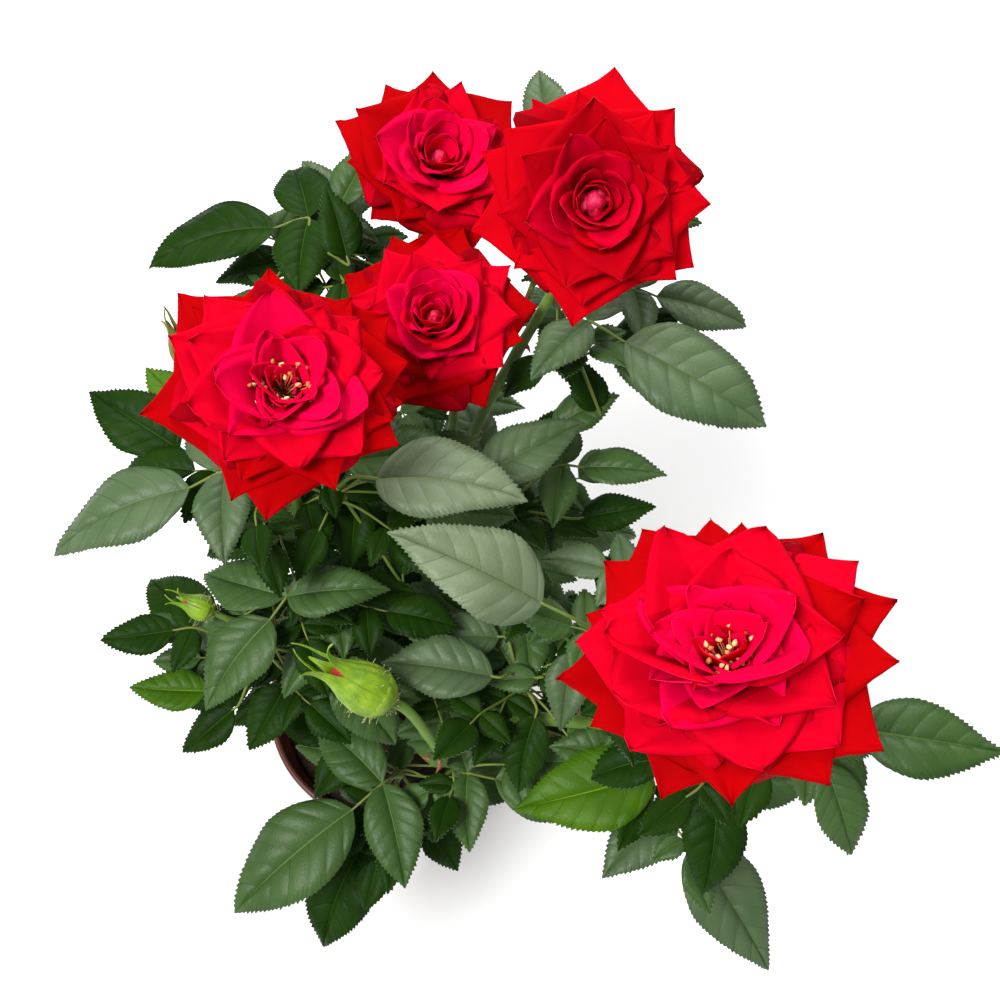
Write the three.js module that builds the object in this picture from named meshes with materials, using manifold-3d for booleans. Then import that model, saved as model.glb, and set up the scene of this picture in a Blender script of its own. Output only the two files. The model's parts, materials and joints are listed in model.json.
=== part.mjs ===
// A potted rose bush: five open blooms, two buds and compound leaves on canes that rise from one pot.
// Millimetres, +Z up, origin at the centre of the pot's flat underside. The plant leans out to +X and +Y.
import * as THREE from "three";
import { mergeVertices } from "three/addons/utils/BufferGeometryUtils.js";
import Module from "manifold-3d";

const wasm = await Module();
wasm.setup();
const { Manifold } = wasm;

// ---- Driving dimensions ----
const GAP = 0.3; // clearance between two pieces that touch on the real plant
const LEAST_GAP = 0.24; // a twig or leaf that comes nearer than this to another piece is left out
const POT = { height: 90, rim: 52.5, base: 36, wall: 1.6, lip: 12, lipStep: 2.6, floor: 2.4, segments: 26 };
const DRAIN = { count: 6, radius: 4.2, ring: 24, segments: 8 };
const SOIL_TOP = 78;
const GOLDEN_ANGLE = THREE.MathUtils.degToRad(137.508);
const HIP = 9; // height of the green cup below a bloom's petals
const NECK = 12; // straight stretch of stem below a bloom
const SLIVER = 0.02; // faces thinner than this, left by fusing, are smoothed away
const SPUR = 3; // straight stretch of a side stem where it leaves its limb
const TWIG_RADIUS = 1.1;
const STALK_RADIUS = 0.75;
const LEAF_THICK = 0.8;
const LEAF_WIDTH = 0.56; // of its length
const SIDE_LENGTH = 0.66; // of the end leaflet's length
const LEAF_ARCH = 0.07;
const LEAF_FOLD = 0.22;
const PETAL_THICK = 0.9;
const SEPAL_THICK = 0.8;
const UP = new THREE.Vector3(0, 0, 1);

const MATERIALS = {
  pot: { color: 0x8a4a35, roughness: 0.6 },
  soil: { color: 0x2c1d14, roughness: 1 },
  cane: { color: 0x56702a, roughness: 0.6 },
  foliage: { color: 0x3d5c2c, roughness: 0.5 },
  bloom: { color: 0xe00a28, roughness: 0.7 },
  bud: { color: 0x93b52a, roughness: 0.6 },
};

// ---- The plant's layout ----
// A bloom's middle, the way it faces, and its radius. Older blooms are more open.
const BLOOMS = {
  bloom_top_left: { middle: [24, 117, 269], facing: [0.18, -0.3, 0.93], radius: 29, turn: 30, open: 0.1 },
  bloom_top_right: { middle: [69, 62, 304], facing: [0, -0.62, 0.78], radius: 29, turn: 65, open: 0.1 },
  bloom_middle: { middle: [24, 64, 254], facing: [0, -0.3, 0.95], radius: 28.5, turn: 100, open: 0 },
  bloom_left: { middle: [-11, 13, 288], facing: [0.25, -0.27, 0.92], radius: 31, turn: 0, open: 0.7 },
  bloom_right: { middle: [95, -57, 283], facing: [-0.25, 0.05, 0.96], radius: 36, turn: 50, open: 1 },
};
const BUDS = {
  bud_front: { foot: [11, -40, 200], facing: [-0.74, 0.22, 0.64], radius: 7.5, length: 22 },
  bud_side: { foot: [-50, -7, 192], facing: [-0.85, 0.2, 0.48], radius: 4, length: 10 },
};
// A limb runs from the soil, or from another limb, through its points to the bloom or bud that it carries.
const LIMBS = {
  cane_back: {
    points: [[8, 12], [11, 15, 105], [20, 36, 160], [36, 56, 208], [62, 76, 258]],
    radii: [2.6, 1.9], bears: "bloom_top_right",
  },
  cane_left: {
    points: [[-12, 2], [-14, 4, 105], [-22, 10, 160], [-20, 16, 215]], radii: [2.5, 1.9], bears: "bloom_left",
  },
  cane_right: {
    points: [[15, -8], [19, -10, 102], [46, -28, 150], [80, -48, 205]], radii: [2.7, 2], bears: "bloom_right",
  },
  cane_front: {
    points: [[2, -17], [5, -20, 102], [20, -40, 136], [25, -48, 170]], radii: [2.4, 2], bears: "bud_front",
  },
  cane_rear: {
    points: [[-9, 15], [-11, 19, 105], [-19, 44, 165], [-24, 76, 213], [-20, 97, 238]], radii: [2.2, 1.5],
  },
  bough_top_left: {
    from: "cane_back", at: 0.3, points: [[4, 60, 184], [13, 104, 224]],
    radii: [1.9, 1.7], bears: "bloom_top_left",
  },
  bough_middle: {
    from: "cane_back", at: 0.5, points: [[28, 66, 208]], radii: [1.8, 1.7], bears: "bloom_middle",
  },
  bough_side: {
    from: "cane_left", at: 0.42, points: [[-36, -1, 168]], radii: [1.4, 1.2], bears: "bud_side",
  },
};
// A mass of foliage grows on one twig from a limb. Each leaf has a joint, where its pair of leaflets sits, and
// the tip of its end leaflet. The rest of a mass is filled by a seeded rule round the twig's end.
const MASSES = {
  foliage_rear_left: {
    limb: "cane_rear", at: 1, hub: [-19, 102, 244], seed: 89, fill: 3,
    leaves: [
      { joint: [-20, 110, 252], tip: [-76, 100, 240], sides: [78, 82] },
      { joint: [-5, 90, 251], tip: [-12, 109, 267] },
      { joint: [-7, 86, 247], tip: [-38, 84, 238], sides: [86, 80] },
      { joint: [-26, 108, 233], tip: [-57, 105, 227] },
      { joint: [-6, 118, 236], tip: [-26, 143, 248] },
    ],
  },
  foliage_top: {
    limb: "cane_back", at: 0.72, hub: [62, 98, 264], seed: 118, fill: 2,
    leaves: [{ joint: [62, 118, 272], tip: [57, 150, 280], sides: [80, 80] }],
  },
  foliage_upper_right: {
    limb: "cane_back", at: 0.66, hub: [70, 66, 246], seed: 47, fill: 2,
    leaves: [
      { joint: [71, 58, 261], tip: [124, 30, 246], sides: [95, 104], size: 0.55 },
      { joint: [88, 86, 244], tip: [127, 79, 234], sides: [70, 75] },
      { joint: [80, 74, 229], tip: [107, 81, 238] },
      { joint: [78, 52, 219], tip: [68, 70, 229] },
    ],
  },
  foliage_mid_right: {
    limb: "cane_back", at: 0.38, hub: [46, 36, 186], seed: 130, fill: 5,
    leaves: [
      { joint: [64, 33, 219], tip: [98, 29, 220], sides: [88, 92], size: 0.8 },
      { joint: [36, 19, 232], tip: [70, 37, 239] },
      { joint: [70, 27, 194], tip: [97, 29, 200] },
      { joint: [60, 50, 214], tip: [84, 60, 222] },
    ],
  },
  foliage_centre_right: {
    limb: "cane_right", at: 0.64, hub: [74, -26, 218], seed: 127, fill: 2,
    leaves: [
      { joint: [63, -28, 238], tip: [14, -12, 258] },
      { joint: [82, -8, 225], tip: [56, -2, 221], sides: [60, 70] },
      { joint: [67, -27, 214], tip: [62, -50, 203] },
    ],
  },
  foliage_left: {
    limb: "cane_left", at: 0.7, hub: [-32, 22, 234], seed: 74, fill: 3,
    leaves: [
      { joint: [-38, 18, 240], tip: [-93, -1, 223], sides: [75, 84], size: 0.6 },
      { joint: [-58, 36, 222], tip: [-90, 55, 231] },
      { joint: [-52, 46, 222], tip: [-74, 66, 228] },
    ],
  },
  foliage_centre: {
    limb: "cane_left", at: 0.66, hub: [-6, 21, 226], seed: 146, fill: 3,
    leaves: [
      { joint: [6, 12, 246], tip: [52, 3, 249] },
      { joint: [-2, 24, 218], tip: [-4, 1, 208] },
      { joint: [12, 2, 196], tip: [12, 22, 206] },
    ],
  },
  foliage_left_low: {
    limb: "cane_left", at: 0.55, hub: [-24, -2, 200], seed: 145, fill: 3,
    leaves: [{ joint: [-23, -8, 207], tip: [-48, -40, 192], sides: [70, 118], size: 0.95 }],
  },
  foliage_far_left: {
    limb: "bough_side", at: 0.15, hub: [-40, -12, 168], seed: 2, fill: 2,
    leaves: [
      { joint: [-58, -9, 184], tip: [-88, -14, 186], sides: [62, 70] },
      { joint: [-52, -27, 172], tip: [-80, -26, 174] },
      { joint: [-46, -28, 161], tip: [-66, -42, 153] },
      { joint: [-28, -20, 166], tip: [-42, -42, 155] },
    ],
  },
  foliage_front_left: {
    limb: "cane_front", at: 0.27, hub: [8, -44, 128], seed: 4, fill: 4,
    leaves: [
      { joint: [3, -50, 142], tip: [-48, -90, 125], sides: [66, 78] },
      { joint: [-4, -60, 112], tip: [-22, -98, 92] },
      { joint: [17, -54, 121], tip: [29, -74, 110] },
    ],
  },
  foliage_front: {
    limb: "cane_front", at: 0.53, hub: [30, -47, 150], seed: 83, fill: 3,
    leaves: [{ joint: [33, -49, 152], tip: [80, -57, 144], sides: [118, 78] }],
  },
  foliage_front_centre: {
    limb: "cane_right", at: 0.47, hub: [50, -24, 178], seed: 112, fill: 3,
    leaves: [
      { joint: [44, -30, 194], tip: [6, -24, 194] },
      { joint: [46, -14, 188], tip: [14, -14, 188] },
      { joint: [58, -27, 186], tip: [40, -28, 184] },
      { joint: [56, -36, 181], tip: [50, -60, 168] },
    ],
  },
  foliage_front_right: {
    limb: "cane_right", at: 0.42, hub: [94, -58, 186], seed: 3, fill: 2,
    leaves: [
      { joint: [92, -60, 196], tip: [48, -70, 193] },
      { joint: [99, -66, 169], tip: [129, -110, 148], sides: [70, 84] },
      { joint: [107, -64, 203], tip: [103, -93, 185] },
      { joint: [103, -46, 202], tip: [76, -44, 202] },
    ],
  },
  foliage_right: {
    limb: "cane_right", at: 0.68, hub: [116, -59, 232], seed: 123, fill: 2,
    leaves: [
      { joint: [128, -62, 234], tip: [139, -88, 215], sides: [60, 30] },
      { joint: [137, -59, 235], tip: [177, -65, 235] },
      { joint: [124, -52, 222], tip: [148, -36, 214] },
    ],
  },
  foliage_back: { limb: "bough_top_left", at: 0.15, hub: [-4, 88, 188], seed: 25, fill: 6, leaves: [] },
  foliage_back_low: { limb: "cane_rear", at: 0.2, hub: [-16, 56, 142], seed: 2, fill: 6, leaves: [] },
  foliage_back_right: { limb: "cane_back", at: 0.12, hub: [32, 46, 138], seed: 119, fill: 6, leaves: [] },
  foliage_low: { limb: "cane_left", at: 0.2, hub: [-30, -8, 132], seed: 58, fill: 6, leaves: [] },
  foliage_under_right: { limb: "cane_right", at: 0.2, hub: [52, -10, 134], seed: 132, fill: 6, leaves: [] },
};
const FILL = { reach: [10, 22], length: [28, 38], rise: [-28, 22], blooms: 1.12, floor: 98, spacing: 15 };

// ---- Small helpers ----
const vec = (p) => new THREE.Vector3(...p);
const rad = THREE.MathUtils.degToRad;
const mix = THREE.MathUtils.lerp;

// Park and Miller's generator: the same numbers in any language.
function seeded(seed) {
  const modulus = 2147483647;
  let state = seed;
  return (low = 0, high = 1) => {
    state = (state * 16807) % modulus;
    return mix(low, high, state / modulus);
  };
}

function solid(vertices, triangles) {
  return new Manifold(
    new wasm.Mesh({
      numProp: 3,
      vertProperties: new Float32Array(vertices.flatMap((v) => v.toArray())),
      triVerts: new Uint32Array(triangles.flat()),
    }),
  );
}

function solidOfGeometry(geometry) {
  for (const name of ["normal", "uv"]) geometry.deleteAttribute(name);
  const merged = mergeVertices(geometry, 1e-4);
  return new Manifold(
    new wasm.Mesh({
      numProp: 3,
      vertProperties: new Float32Array(merged.attributes.position.array),
      triVerts: new Uint32Array(merged.index.array),
    }),
  );
}

// A lathed body about Z. The profile is a list of [radius, height] from the axis back to the axis, bottom first.
function lathed(profile, segments) {
  const geometry = new THREE.LatheGeometry(profile.map(([r, z]) => new THREE.Vector2(r, z)), segments);
  return solidOfGeometry(geometry.rotateX(Math.PI / 2));
}

function placed(body, origin, facing) {
  const turn = new THREE.Quaternion().setFromUnitVectors(UP, facing);
  return body.transform(new THREE.Matrix4().compose(origin, turn, new THREE.Vector3(1, 1, 1)).elements);
}

// Parts fused into one closed body, without the slivers that crossing faces leave. A pocket that the fusing
// seals off is filled, and a loose scrap is dropped.
function fused(parts) {
  const pieces = Manifold.union(parts).decompose();
  return pieces.sort((a, b) => b.volume() - a.volume())[0].simplify(SLIVER);
}

// ---- Stems ----
// A stem through points, with flat ends. Its radius is radiusAt(share of its length), and each span between two
// points has the same number of steps.
function stem(points, radiusAt, sides, stepsPerSpan) {
  const steps = stepsPerSpan * (points.length - 1);
  const curve = new THREE.CatmullRomCurve3(points, false, "centripetal");
  const frames = curve.computeFrenetFrames(steps, false);
  const lengths = curve.getLengths(steps);
  const rings = [];
  const vertices = [];
  const triangles = [];
  for (let i = 0; i <= steps; i++) {
    const centre = curve.getPoint(i / steps);
    const along = curve.getTangent(i / steps);
    const across = frames.normals[i].clone().projectOnPlane(along).normalize();
    const other = new THREE.Vector3().crossVectors(along, across);
    const share = lengths[i] / lengths[steps];
    const r = radiusAt(share);
    rings.push({ centre, share, r });
    for (let k = 0; k < sides; k++) {
      const a = (k / sides) * 2 * Math.PI;
      vertices.push(
        centre.clone().addScaledVector(across, r * Math.cos(a)).addScaledVector(other, r * Math.sin(a)),
      );
    }
  }
  for (let i = 0; i < steps; i++)
    for (let k = 0; k < sides; k++) {
      const [a, b] = [i * sides + k, i * sides + ((k + 1) % sides)];
      triangles.push([a, b, b + sides], [a, b + sides, a + sides]);
    }
  const last = steps * sides;
  for (let k = 1; k < sides - 1; k++) triangles.push([0, k + 1, k], [last, last + k, last + k + 1]);
  return { body: solid(vertices, triangles), rings };
}

// The middle of a limb at a share of its length, with its direction and radius there.
function onLimb({ rings }, share) {
  const next = Math.max(1, rings.findIndex((ring) => ring.share >= share));
  const [a, b] = [rings[next - 1], rings[next]];
  const t = (share - a.share) / (b.share - a.share);
  return {
    middle: a.centre.clone().lerp(b.centre, t),
    along: b.centre.clone().sub(a.centre).normalize(),
    radius: mix(a.r, b.r, t),
  };
}

const taper = ([low, high]) => (t) => mix(low, high, t);
// The root flare: a cane widens by two fifths where it leaves the soil.
const flared = ([low, high]) => (t) => mix(low, high, t) * (1 + 0.4 * Math.exp(-t / 0.035));

// The first two points of a side stem: it starts just clear of the limb's surface, square to it, on the side
// that faces the target.
function budding(limb, at, target) {
  const { middle, along, radius } = onLimb(limb, at);
  const out = at === 1 ? along : vec(target).sub(middle).projectOnPlane(along).normalize();
  const start = middle.addScaledVector(out, at === 1 ? GAP : radius + GAP);
  return [start, start.clone().addScaledVector(out, SPUR)];
}

// Where the thing that a limb bears is seated, and the point a neck's length below it.
function seatOf(name) {
  const bloom = BLOOMS[name];
  const facing = vec((bloom ?? BUDS[name]).facing).normalize();
  if (!bloom) return { seat: vec(BUDS[name].foot), facing, neck: NECK / 2 };
  return { seat: vec(bloom.middle).addScaledVector(facing, -(HIP + 0.1 * bloom.radius)), facing, neck: NECK };
}

function limbs() {
  const made = {};
  for (const [name, { from, at, points, radii, bears }] of Object.entries(LIMBS)) {
    const route = from
      ? [...budding(made[from], at, points[0]), ...points.map(vec)]
      : [[...points[0], SOIL_TOP + GAP], [...points[0], SOIL_TOP + 8], ...points.slice(1)].map(vec);
    if (bears) {
      const { seat, facing, neck } = seatOf(bears);
      route.push(seat.clone().addScaledVector(facing, -neck), seat.clone().addScaledVector(facing, -GAP));
    }
    made[name] = stem(route, from ? taper(radii) : flared(radii), from ? 5 : 6, 2);
  }
  return made;
}

// ---- Blades: leaflets, sepals and petals ----
// A closed thin body from a first point through cross-sections to a last point. Each section has a middle, the way
// along and up, half its width, how far its edges lift, and its thickness at the middle.
function blade(first, sections, last) {
  const vertices = [first];
  for (const { middle, along, up, half, lift, thick } of sections) {
    const left = new THREE.Vector3().crossVectors(up, along).normalize();
    vertices.push(
      middle.clone().addScaledVector(left, half).addScaledVector(up, lift),
      middle.clone().addScaledVector(left, -half).addScaledVector(up, lift),
      middle.clone().addScaledVector(up, thick / 2),
      middle.clone().addScaledVector(up, -thick / 2),
    );
  }
  vertices.push(last);
  const [LEFT, RIGHT, TOP, UNDER] = [1, 2, 3, 4];
  const end = vertices.length - 1;
  const tail = end - 5;
  const triangles = [
    [0, TOP, LEFT], [0, RIGHT, TOP], [0, LEFT, UNDER], [0, UNDER, RIGHT],
    [tail + TOP, end, tail + LEFT], [tail + RIGHT, end, tail + TOP],
    [tail + LEFT, end, tail + UNDER], [tail + UNDER, end, tail + RIGHT],
  ];
  for (let i = 0; i < tail; i += 4)
    for (const [a, b] of [[TOP, LEFT], [RIGHT, TOP], [LEFT, UNDER], [UNDER, RIGHT]])
      triangles.push([i + a, i + 4 + a, i + 4 + b], [i + a, i + 4 + b, i + b]);
  return solid(vertices, triangles);
}

// Half widths of a leaflet along its length, as shares of its greatest half width.
const FULL_OUTLINE = [[0.28, 0.9], [0.66, 0.86]];
const PLAIN_OUTLINE = [[0.45, 1]];
function leaflet({ base, along, up, length, outline }) {
  const width = LEAF_WIDTH * length;
  const sections = outline.map(([v, share]) => ({
    middle: base.clone()
      .addScaledVector(along, v * length)
      .addScaledVector(up, 4 * v * (1 - v) * LEAF_ARCH * length),
    along,
    up,
    half: (share * width) / 2,
    lift: (LEAF_FOLD * share * width) / 2,
    thick: LEAF_THICK,
  }));
  return blade(base, sections, base.clone().addScaledVector(along, length));
}

// One compound leaf: its stalk from the twig, a rachis, an end leaflet, and a pair at the joint if it has sides.
function leafPlan({ joint, tip, sides, size = SIDE_LENGTH, outline = FULL_OUTLINE }) {
  const [j, end] = [vec(joint), vec(tip)];
  const along = end.clone().sub(j).normalize();
  const up = UP.clone().projectOnPlane(along).normalize();
  const total = j.distanceTo(end);
  const gap = sides ? 0.2 * total : 2;
  const blades = [{ base: j.clone().addScaledVector(along, gap), along, up, length: total - gap, outline }];
  (sides ?? []).forEach((degrees, k) => {
    const way = along.clone().applyAxisAngle(up, rad(k ? -degrees : degrees));
    way.z -= 0.08;
    way.normalize();
    const face = UP.clone().projectOnPlane(way).normalize();
    blades.push({ base: j.clone(), along: way, up: face, length: size * (total - gap), outline });
  });
  return { joint: j, along, gap, blades };
}

// Leaves that fill a mass round its hub, apart from those that come near a bloom, the pot or another blade.
function fillLeaves(mass, taken) {
  const random = seeded(mass.seed);
  const hub = vec(mass.hub);
  const bloomAt = Object.values(BLOOMS).map((b) => ({ middle: vec(b.middle), radius: b.radius }));
  const kept = [];
  for (let i = 0; i < 3 * mass.fill && kept.length < mass.fill; i++) {
    const bearing = i * GOLDEN_ANGLE + random(0, 1.2);
    const rise = rad(random(...FILL.rise));
    const way = new THREE.Vector3(
      Math.cos(bearing) * Math.cos(rise), Math.sin(bearing) * Math.cos(rise), Math.sin(rise),
    );
    const joint = hub.clone().addScaledVector(way, random(...FILL.reach));
    const length = random(...FILL.length);
    const sides = [random(66, 88), random(66, 88)];
    const tip = joint.clone().addScaledVector(way, 1.2 * length);
    const heart = joint.clone().lerp(tip, 0.6);
    if (Math.min(joint.z, tip.z) < FILL.floor) continue;
    if (bloomAt.some((b) => b.middle.distanceTo(heart) < FILL.blooms * b.radius)) continue;
    if (taken.some((p) => p.distanceTo(heart) < FILL.spacing)) continue;
    kept.push({ joint: joint.toArray(), tip: tip.toArray(), sides, outline: PLAIN_OUTLINE });
    taken.push(heart);
  }
  return kept;
}

// ---- Blooms and buds ----
const PETALS = 16;
const SEPALS = 5;
// The way out from the axis at an azimuth, and the way across it.
const radial = (azimuth) => [
  new THREE.Vector3(Math.cos(azimuth), Math.sin(azimuth), 0),
  new THREE.Vector3(-Math.sin(azimuth), Math.cos(azimuth), 0),
];
// The way that leans out from the axis by an angle.
const leaning = (out, angle) => out.clone().multiplyScalar(Math.sin(angle)).addScaledVector(UP, Math.cos(angle));

// A petal's middle line: it leaves the hip at one angle from the axis and bends to another. Outer petals come first.
function petalLine(share, radius, open) {
  const length = radius * mix(1.12, 0.5 - 0.08 * open, share ** 1.3);
  const start = rad(mix(64, 10 + 14 * open, share ** 0.8));
  const finish = rad(mix(126, 26 + 20 * open, share ** 0.95));
  const steps = 24;
  const line = [];
  let [r, z] = [2.2, 0];
  for (let i = 0; i <= steps; i++) {
    const angle = mix(start, finish, (i / steps) ** 1.3);
    line.push({ r, z, angle });
    r += (length / steps) * Math.sin(angle);
    z += (length / steps) * Math.cos(angle);
  }
  return { length, at: (v) => line[Math.round(v * steps)] };
}

const PETAL_OUTLINE = [[0.28, 0.6], [0.62, 1]];
const INNER_OUTLINE = [[0.6, 1]];
function petal(index, radius, open, turn) {
  const share = index / (PETALS - 1);
  const line = petalLine(share, radius, open);
  const [out, lateral] = radial(rad(turn) + index * GOLDEN_ANGLE);
  const width = line.length * mix(1, 0.8, share);
  const point = ({ r, z }) => out.clone().multiplyScalar(r).add(new THREE.Vector3(0, 0, HIP - 1 + z));
  const sections = (share < 0.6 ? PETAL_OUTLINE : INNER_OUTLINE).map(([v, part]) => {
    const here = line.at(v);
    const along = leaning(out, here.angle);
    const up = new THREE.Vector3().crossVectors(along, lateral);
    const half = (part * width) / 2;
    return { middle: point(here), along, up, half, lift: half * mix(0.16, 0.7, share), thick: PETAL_THICK };
  });
  return blade(point(line.at(0)), sections, point(line.at(1)));
}

// A sepal leaves the top of the hip and bends back below the petals.
function sepal(index, length, base, angles) {
  const [out, lateral] = radial((index / SEPALS) * 2 * Math.PI);
  const points = [out.clone().multiplyScalar(base.r).setZ(base.z)];
  const ways = angles.map((angle) => leaning(out, rad(angle)));
  for (const way of ways) points.push(points.at(-1).clone().addScaledVector(way, length / ways.length));
  const sections = points.slice(1, -1).map((middle, i) => ({
    middle,
    along: ways[i],
    up: new THREE.Vector3().crossVectors(ways[i], lateral),
    half: length * (i ? 0.08 : 0.14),
    lift: 0,
    thick: SEPAL_THICK,
  }));
  return blade(points[0], sections, points.at(-1));
}

// The hip and the heart of a bloom, in one lathed body that the petals are fused to.
function hipAndHeart(radius, open) {
  const heart = radius * mix(0.4, 0.2, open);
  return lathed([[0, 0], [1.9, 0], [3.8, 0.5 * HIP], [3, HIP], [0, HIP + heart]], 7);
}

function bloom({ radius, turn, open }) {
  const parts = [hipAndHeart(radius, open)];
  for (let i = 0; i < PETALS; i++) parts.push(petal(i, radius, open, turn));
  for (let i = 0; i < SEPALS; i++) parts.push(sepal(i, 0.5 * radius, { r: 1.5, z: 0.75 * HIP }, [80, 130]));
  return fused(parts);
}

function bud({ radius, length }) {
  const body = lathed(
    [
      [0, 0], [0.3 * radius, 0], [radius, 0.3 * length], [0.9 * radius, 0.55 * length],
      [0.5 * radius, 0.8 * length], [0, length],
    ],
    9,
  );
  const parts = [body];
  for (let i = 0; i < SEPALS; i++) {
    const curl = i % 2 ? 10 : 48;
    parts.push(sepal(i, 1.15 * length, { r: 0.72 * radius, z: 0.14 * length }, [22, -8, curl]));
  }
  return fused(parts);
}

// ---- Pot and soil ----
const WALL_TOP = POT.rim - POT.lipStep - 0.8; // outer radius of the wall where the rolled rim starts
function pot() {
  const { height, rim, base, wall, lip, floor, segments } = POT;
  const lipFoot = height - lip;
  const outside = [[0, 0], [base, 0], [WALL_TOP, lipFoot], [rim - 0.8, lipFoot + 0.6], [rim, height - 1.2]];
  const edge = [[rim - 0.9, height], [rim - POT.lipStep, height]];
  const inside = [[WALL_TOP - wall, lipFoot], [base - wall, floor], [0, floor]];
  const shell = lathed([...outside, ...edge, ...inside], segments);
  const holes = Array.from({ length: DRAIN.count }, (_, i) => {
    const a = (i / DRAIN.count) * 2 * Math.PI;
    const cutter = new THREE.CylinderGeometry(DRAIN.radius, DRAIN.radius, 3 * floor, DRAIN.segments)
      .rotateX(Math.PI / 2)
      .translate(DRAIN.ring * Math.cos(a), DRAIN.ring * Math.sin(a), floor / 2);
    return solidOfGeometry(cutter);
  });
  return shell.subtract(Manifold.union(holes));
}

function soil() {
  const floor = POT.floor + GAP;
  const foot = POT.base - POT.wall - 2 * GAP;
  const edge = WALL_TOP - POT.wall - 2 * GAP;
  const profile = [[0, floor], [foot, floor], [edge, SOIL_TOP - 1.5], [edge - 6, SOIL_TOP], [0, SOIL_TOP]];
  return lathed(profile, POT.segments);
}

// ---- Masses of foliage ----
const boxes = new Map();
function boxOf(body) {
  if (!boxes.has(body)) boxes.set(body, body.boundingBox());
  return boxes.get(body);
}
const apart = (a, b) => [0, 1, 2].some((k) => a.min[k] > b.max[k] + GAP || b.min[k] > a.max[k] + GAP);
const isClear = (body, others) =>
  others.every((other) => apart(boxOf(body), boxOf(other)) || body.minGap(other, GAP) >= LEAST_GAP);

// The twig of a mass and the stalks of its leaves. Each stalk starts inside the twig.
function skeleton(mass, limb, planned, others) {
  const hub = vec(mass.hub);
  const [start, spur] = budding(limb, mass.at, mass.hub);
  const route = [start, spur, spur.clone().lerp(hub, 0.5), hub];
  const parts = [stem(route, taper([TWIG_RADIUS, 0.9]), 4, 1).body];
  const leaves = [];
  planned.forEach((leaf, i) => {
    const plan = leafPlan(leaf);
    const foot = spur.clone().lerp(hub, mix(0.98, 0.4, i / planned.length));
    const end = plan.joint.clone().addScaledVector(plan.along, plan.gap + 1);
    const stalk = stem([foot, plan.joint, end], taper([STALK_RADIUS, 0.5]), 3, 1).body;
    if (!isClear(stalk, others)) return;
    parts.push(stalk);
    leaves.push(plan);
  });
  return { parts, leaves };
}

// All twigs and stalks come before the first leaflet, so that no leaflet of another mass takes their place.
function foliage(stems, others) {
  const heartOf = (leaf) => vec(leaf.joint).lerp(vec(leaf.tip), 0.6);
  const taken = Object.values(MASSES).flatMap((mass) => mass.leaves.map(heartOf));
  const grown = [];
  for (const [name, mass] of Object.entries(MASSES)) {
    const planned = [...mass.leaves, ...fillLeaves(mass, taken)];
    const blocked = [...others, ...grown.flatMap((other) => other.parts)];
    grown.push({ name, ...skeleton(mass, stems[mass.limb], planned, blocked) });
  }
  for (const mass of grown) {
    const blocked = [...others, ...grown.filter((other) => other !== mass).flatMap((other) => other.parts)];
    for (const leaf of mass.leaves) {
      const kept = leaf.blades.map(leaflet).filter((body) => isClear(body, blocked));
      mass.parts.push(...kept);
      blocked.push(...kept);
    }
  }
  return grown;
}

// ---- Assembly ----
const root = new THREE.Group();
const materials = Object.fromEntries(
  Object.entries(MATERIALS).map(([name, look]) => [name, new THREE.MeshStandardMaterial(look)]),
);

function add(name, body, material) {
  const mesh = body.getMesh();
  const geometry = new THREE.BufferGeometry()
    .setAttribute("position", new THREE.BufferAttribute(new Float32Array(mesh.vertProperties), 3))
    .setIndex(new THREE.BufferAttribute(mesh.triVerts, 1));
  geometry.computeVertexNormals();
  const node = new THREE.Mesh(geometry, materials[material]);
  node.name = name;
  root.add(node);
  return body;
}

function addSeated(specs, shape, material) {
  return Object.entries(specs).map(([name, spec]) => {
    const { seat, facing } = seatOf(name);
    return add(name, placed(shape(spec), seat, facing), material);
  });
}

add("pot", pot(), "pot");
add("soil", soil(), "soil");
const stems = limbs();
const bodies = Object.entries(stems).map(([name, { body }]) => add(name, body, "cane"));
bodies.push(...addSeated(BLOOMS, bloom, "bloom"), ...addSeated(BUDS, bud, "bud"));
// No leaf reaches into the pot's own room.
bodies.push(lathed([[0, 0], [POT.rim, 0], [POT.rim, POT.height], [0, POT.height]], POT.segments));
for (const { name, parts } of foliage(stems, bodies)) add(name, fused(parts), "foliage");

export default root;
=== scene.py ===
"""A potted miniature rose in bloom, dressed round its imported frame.

Shapes are worked out in millimetres along the frame's own axes, and become metres as each mesh is made.
The layout of limbs, masses, blooms and buds is the frame's own. Each mass grows by the frame's rule, carried
finer here.
"""

import json
import math
from collections import namedtuple

import bpy
import numpy as np
from mathutils import Matrix, Vector
from mathutils.bvhtree import BVHTree

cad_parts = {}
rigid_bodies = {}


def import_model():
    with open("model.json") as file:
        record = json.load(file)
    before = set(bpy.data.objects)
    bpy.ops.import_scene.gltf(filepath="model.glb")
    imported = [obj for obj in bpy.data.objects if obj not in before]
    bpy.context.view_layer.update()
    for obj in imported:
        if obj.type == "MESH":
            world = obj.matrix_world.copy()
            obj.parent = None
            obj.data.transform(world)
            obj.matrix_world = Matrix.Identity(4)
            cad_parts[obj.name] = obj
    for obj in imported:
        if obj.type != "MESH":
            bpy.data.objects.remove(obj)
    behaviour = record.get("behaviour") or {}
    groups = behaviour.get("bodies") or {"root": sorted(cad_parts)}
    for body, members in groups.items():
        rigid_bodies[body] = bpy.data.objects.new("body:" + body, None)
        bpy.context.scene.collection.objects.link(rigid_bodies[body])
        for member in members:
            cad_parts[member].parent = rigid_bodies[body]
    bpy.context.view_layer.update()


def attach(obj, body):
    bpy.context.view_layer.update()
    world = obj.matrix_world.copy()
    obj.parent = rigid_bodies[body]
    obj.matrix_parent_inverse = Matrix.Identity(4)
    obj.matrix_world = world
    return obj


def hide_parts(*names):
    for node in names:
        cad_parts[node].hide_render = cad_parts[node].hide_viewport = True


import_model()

# ---- Driving dimensions, in millimetres ----
MM = 0.001
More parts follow.
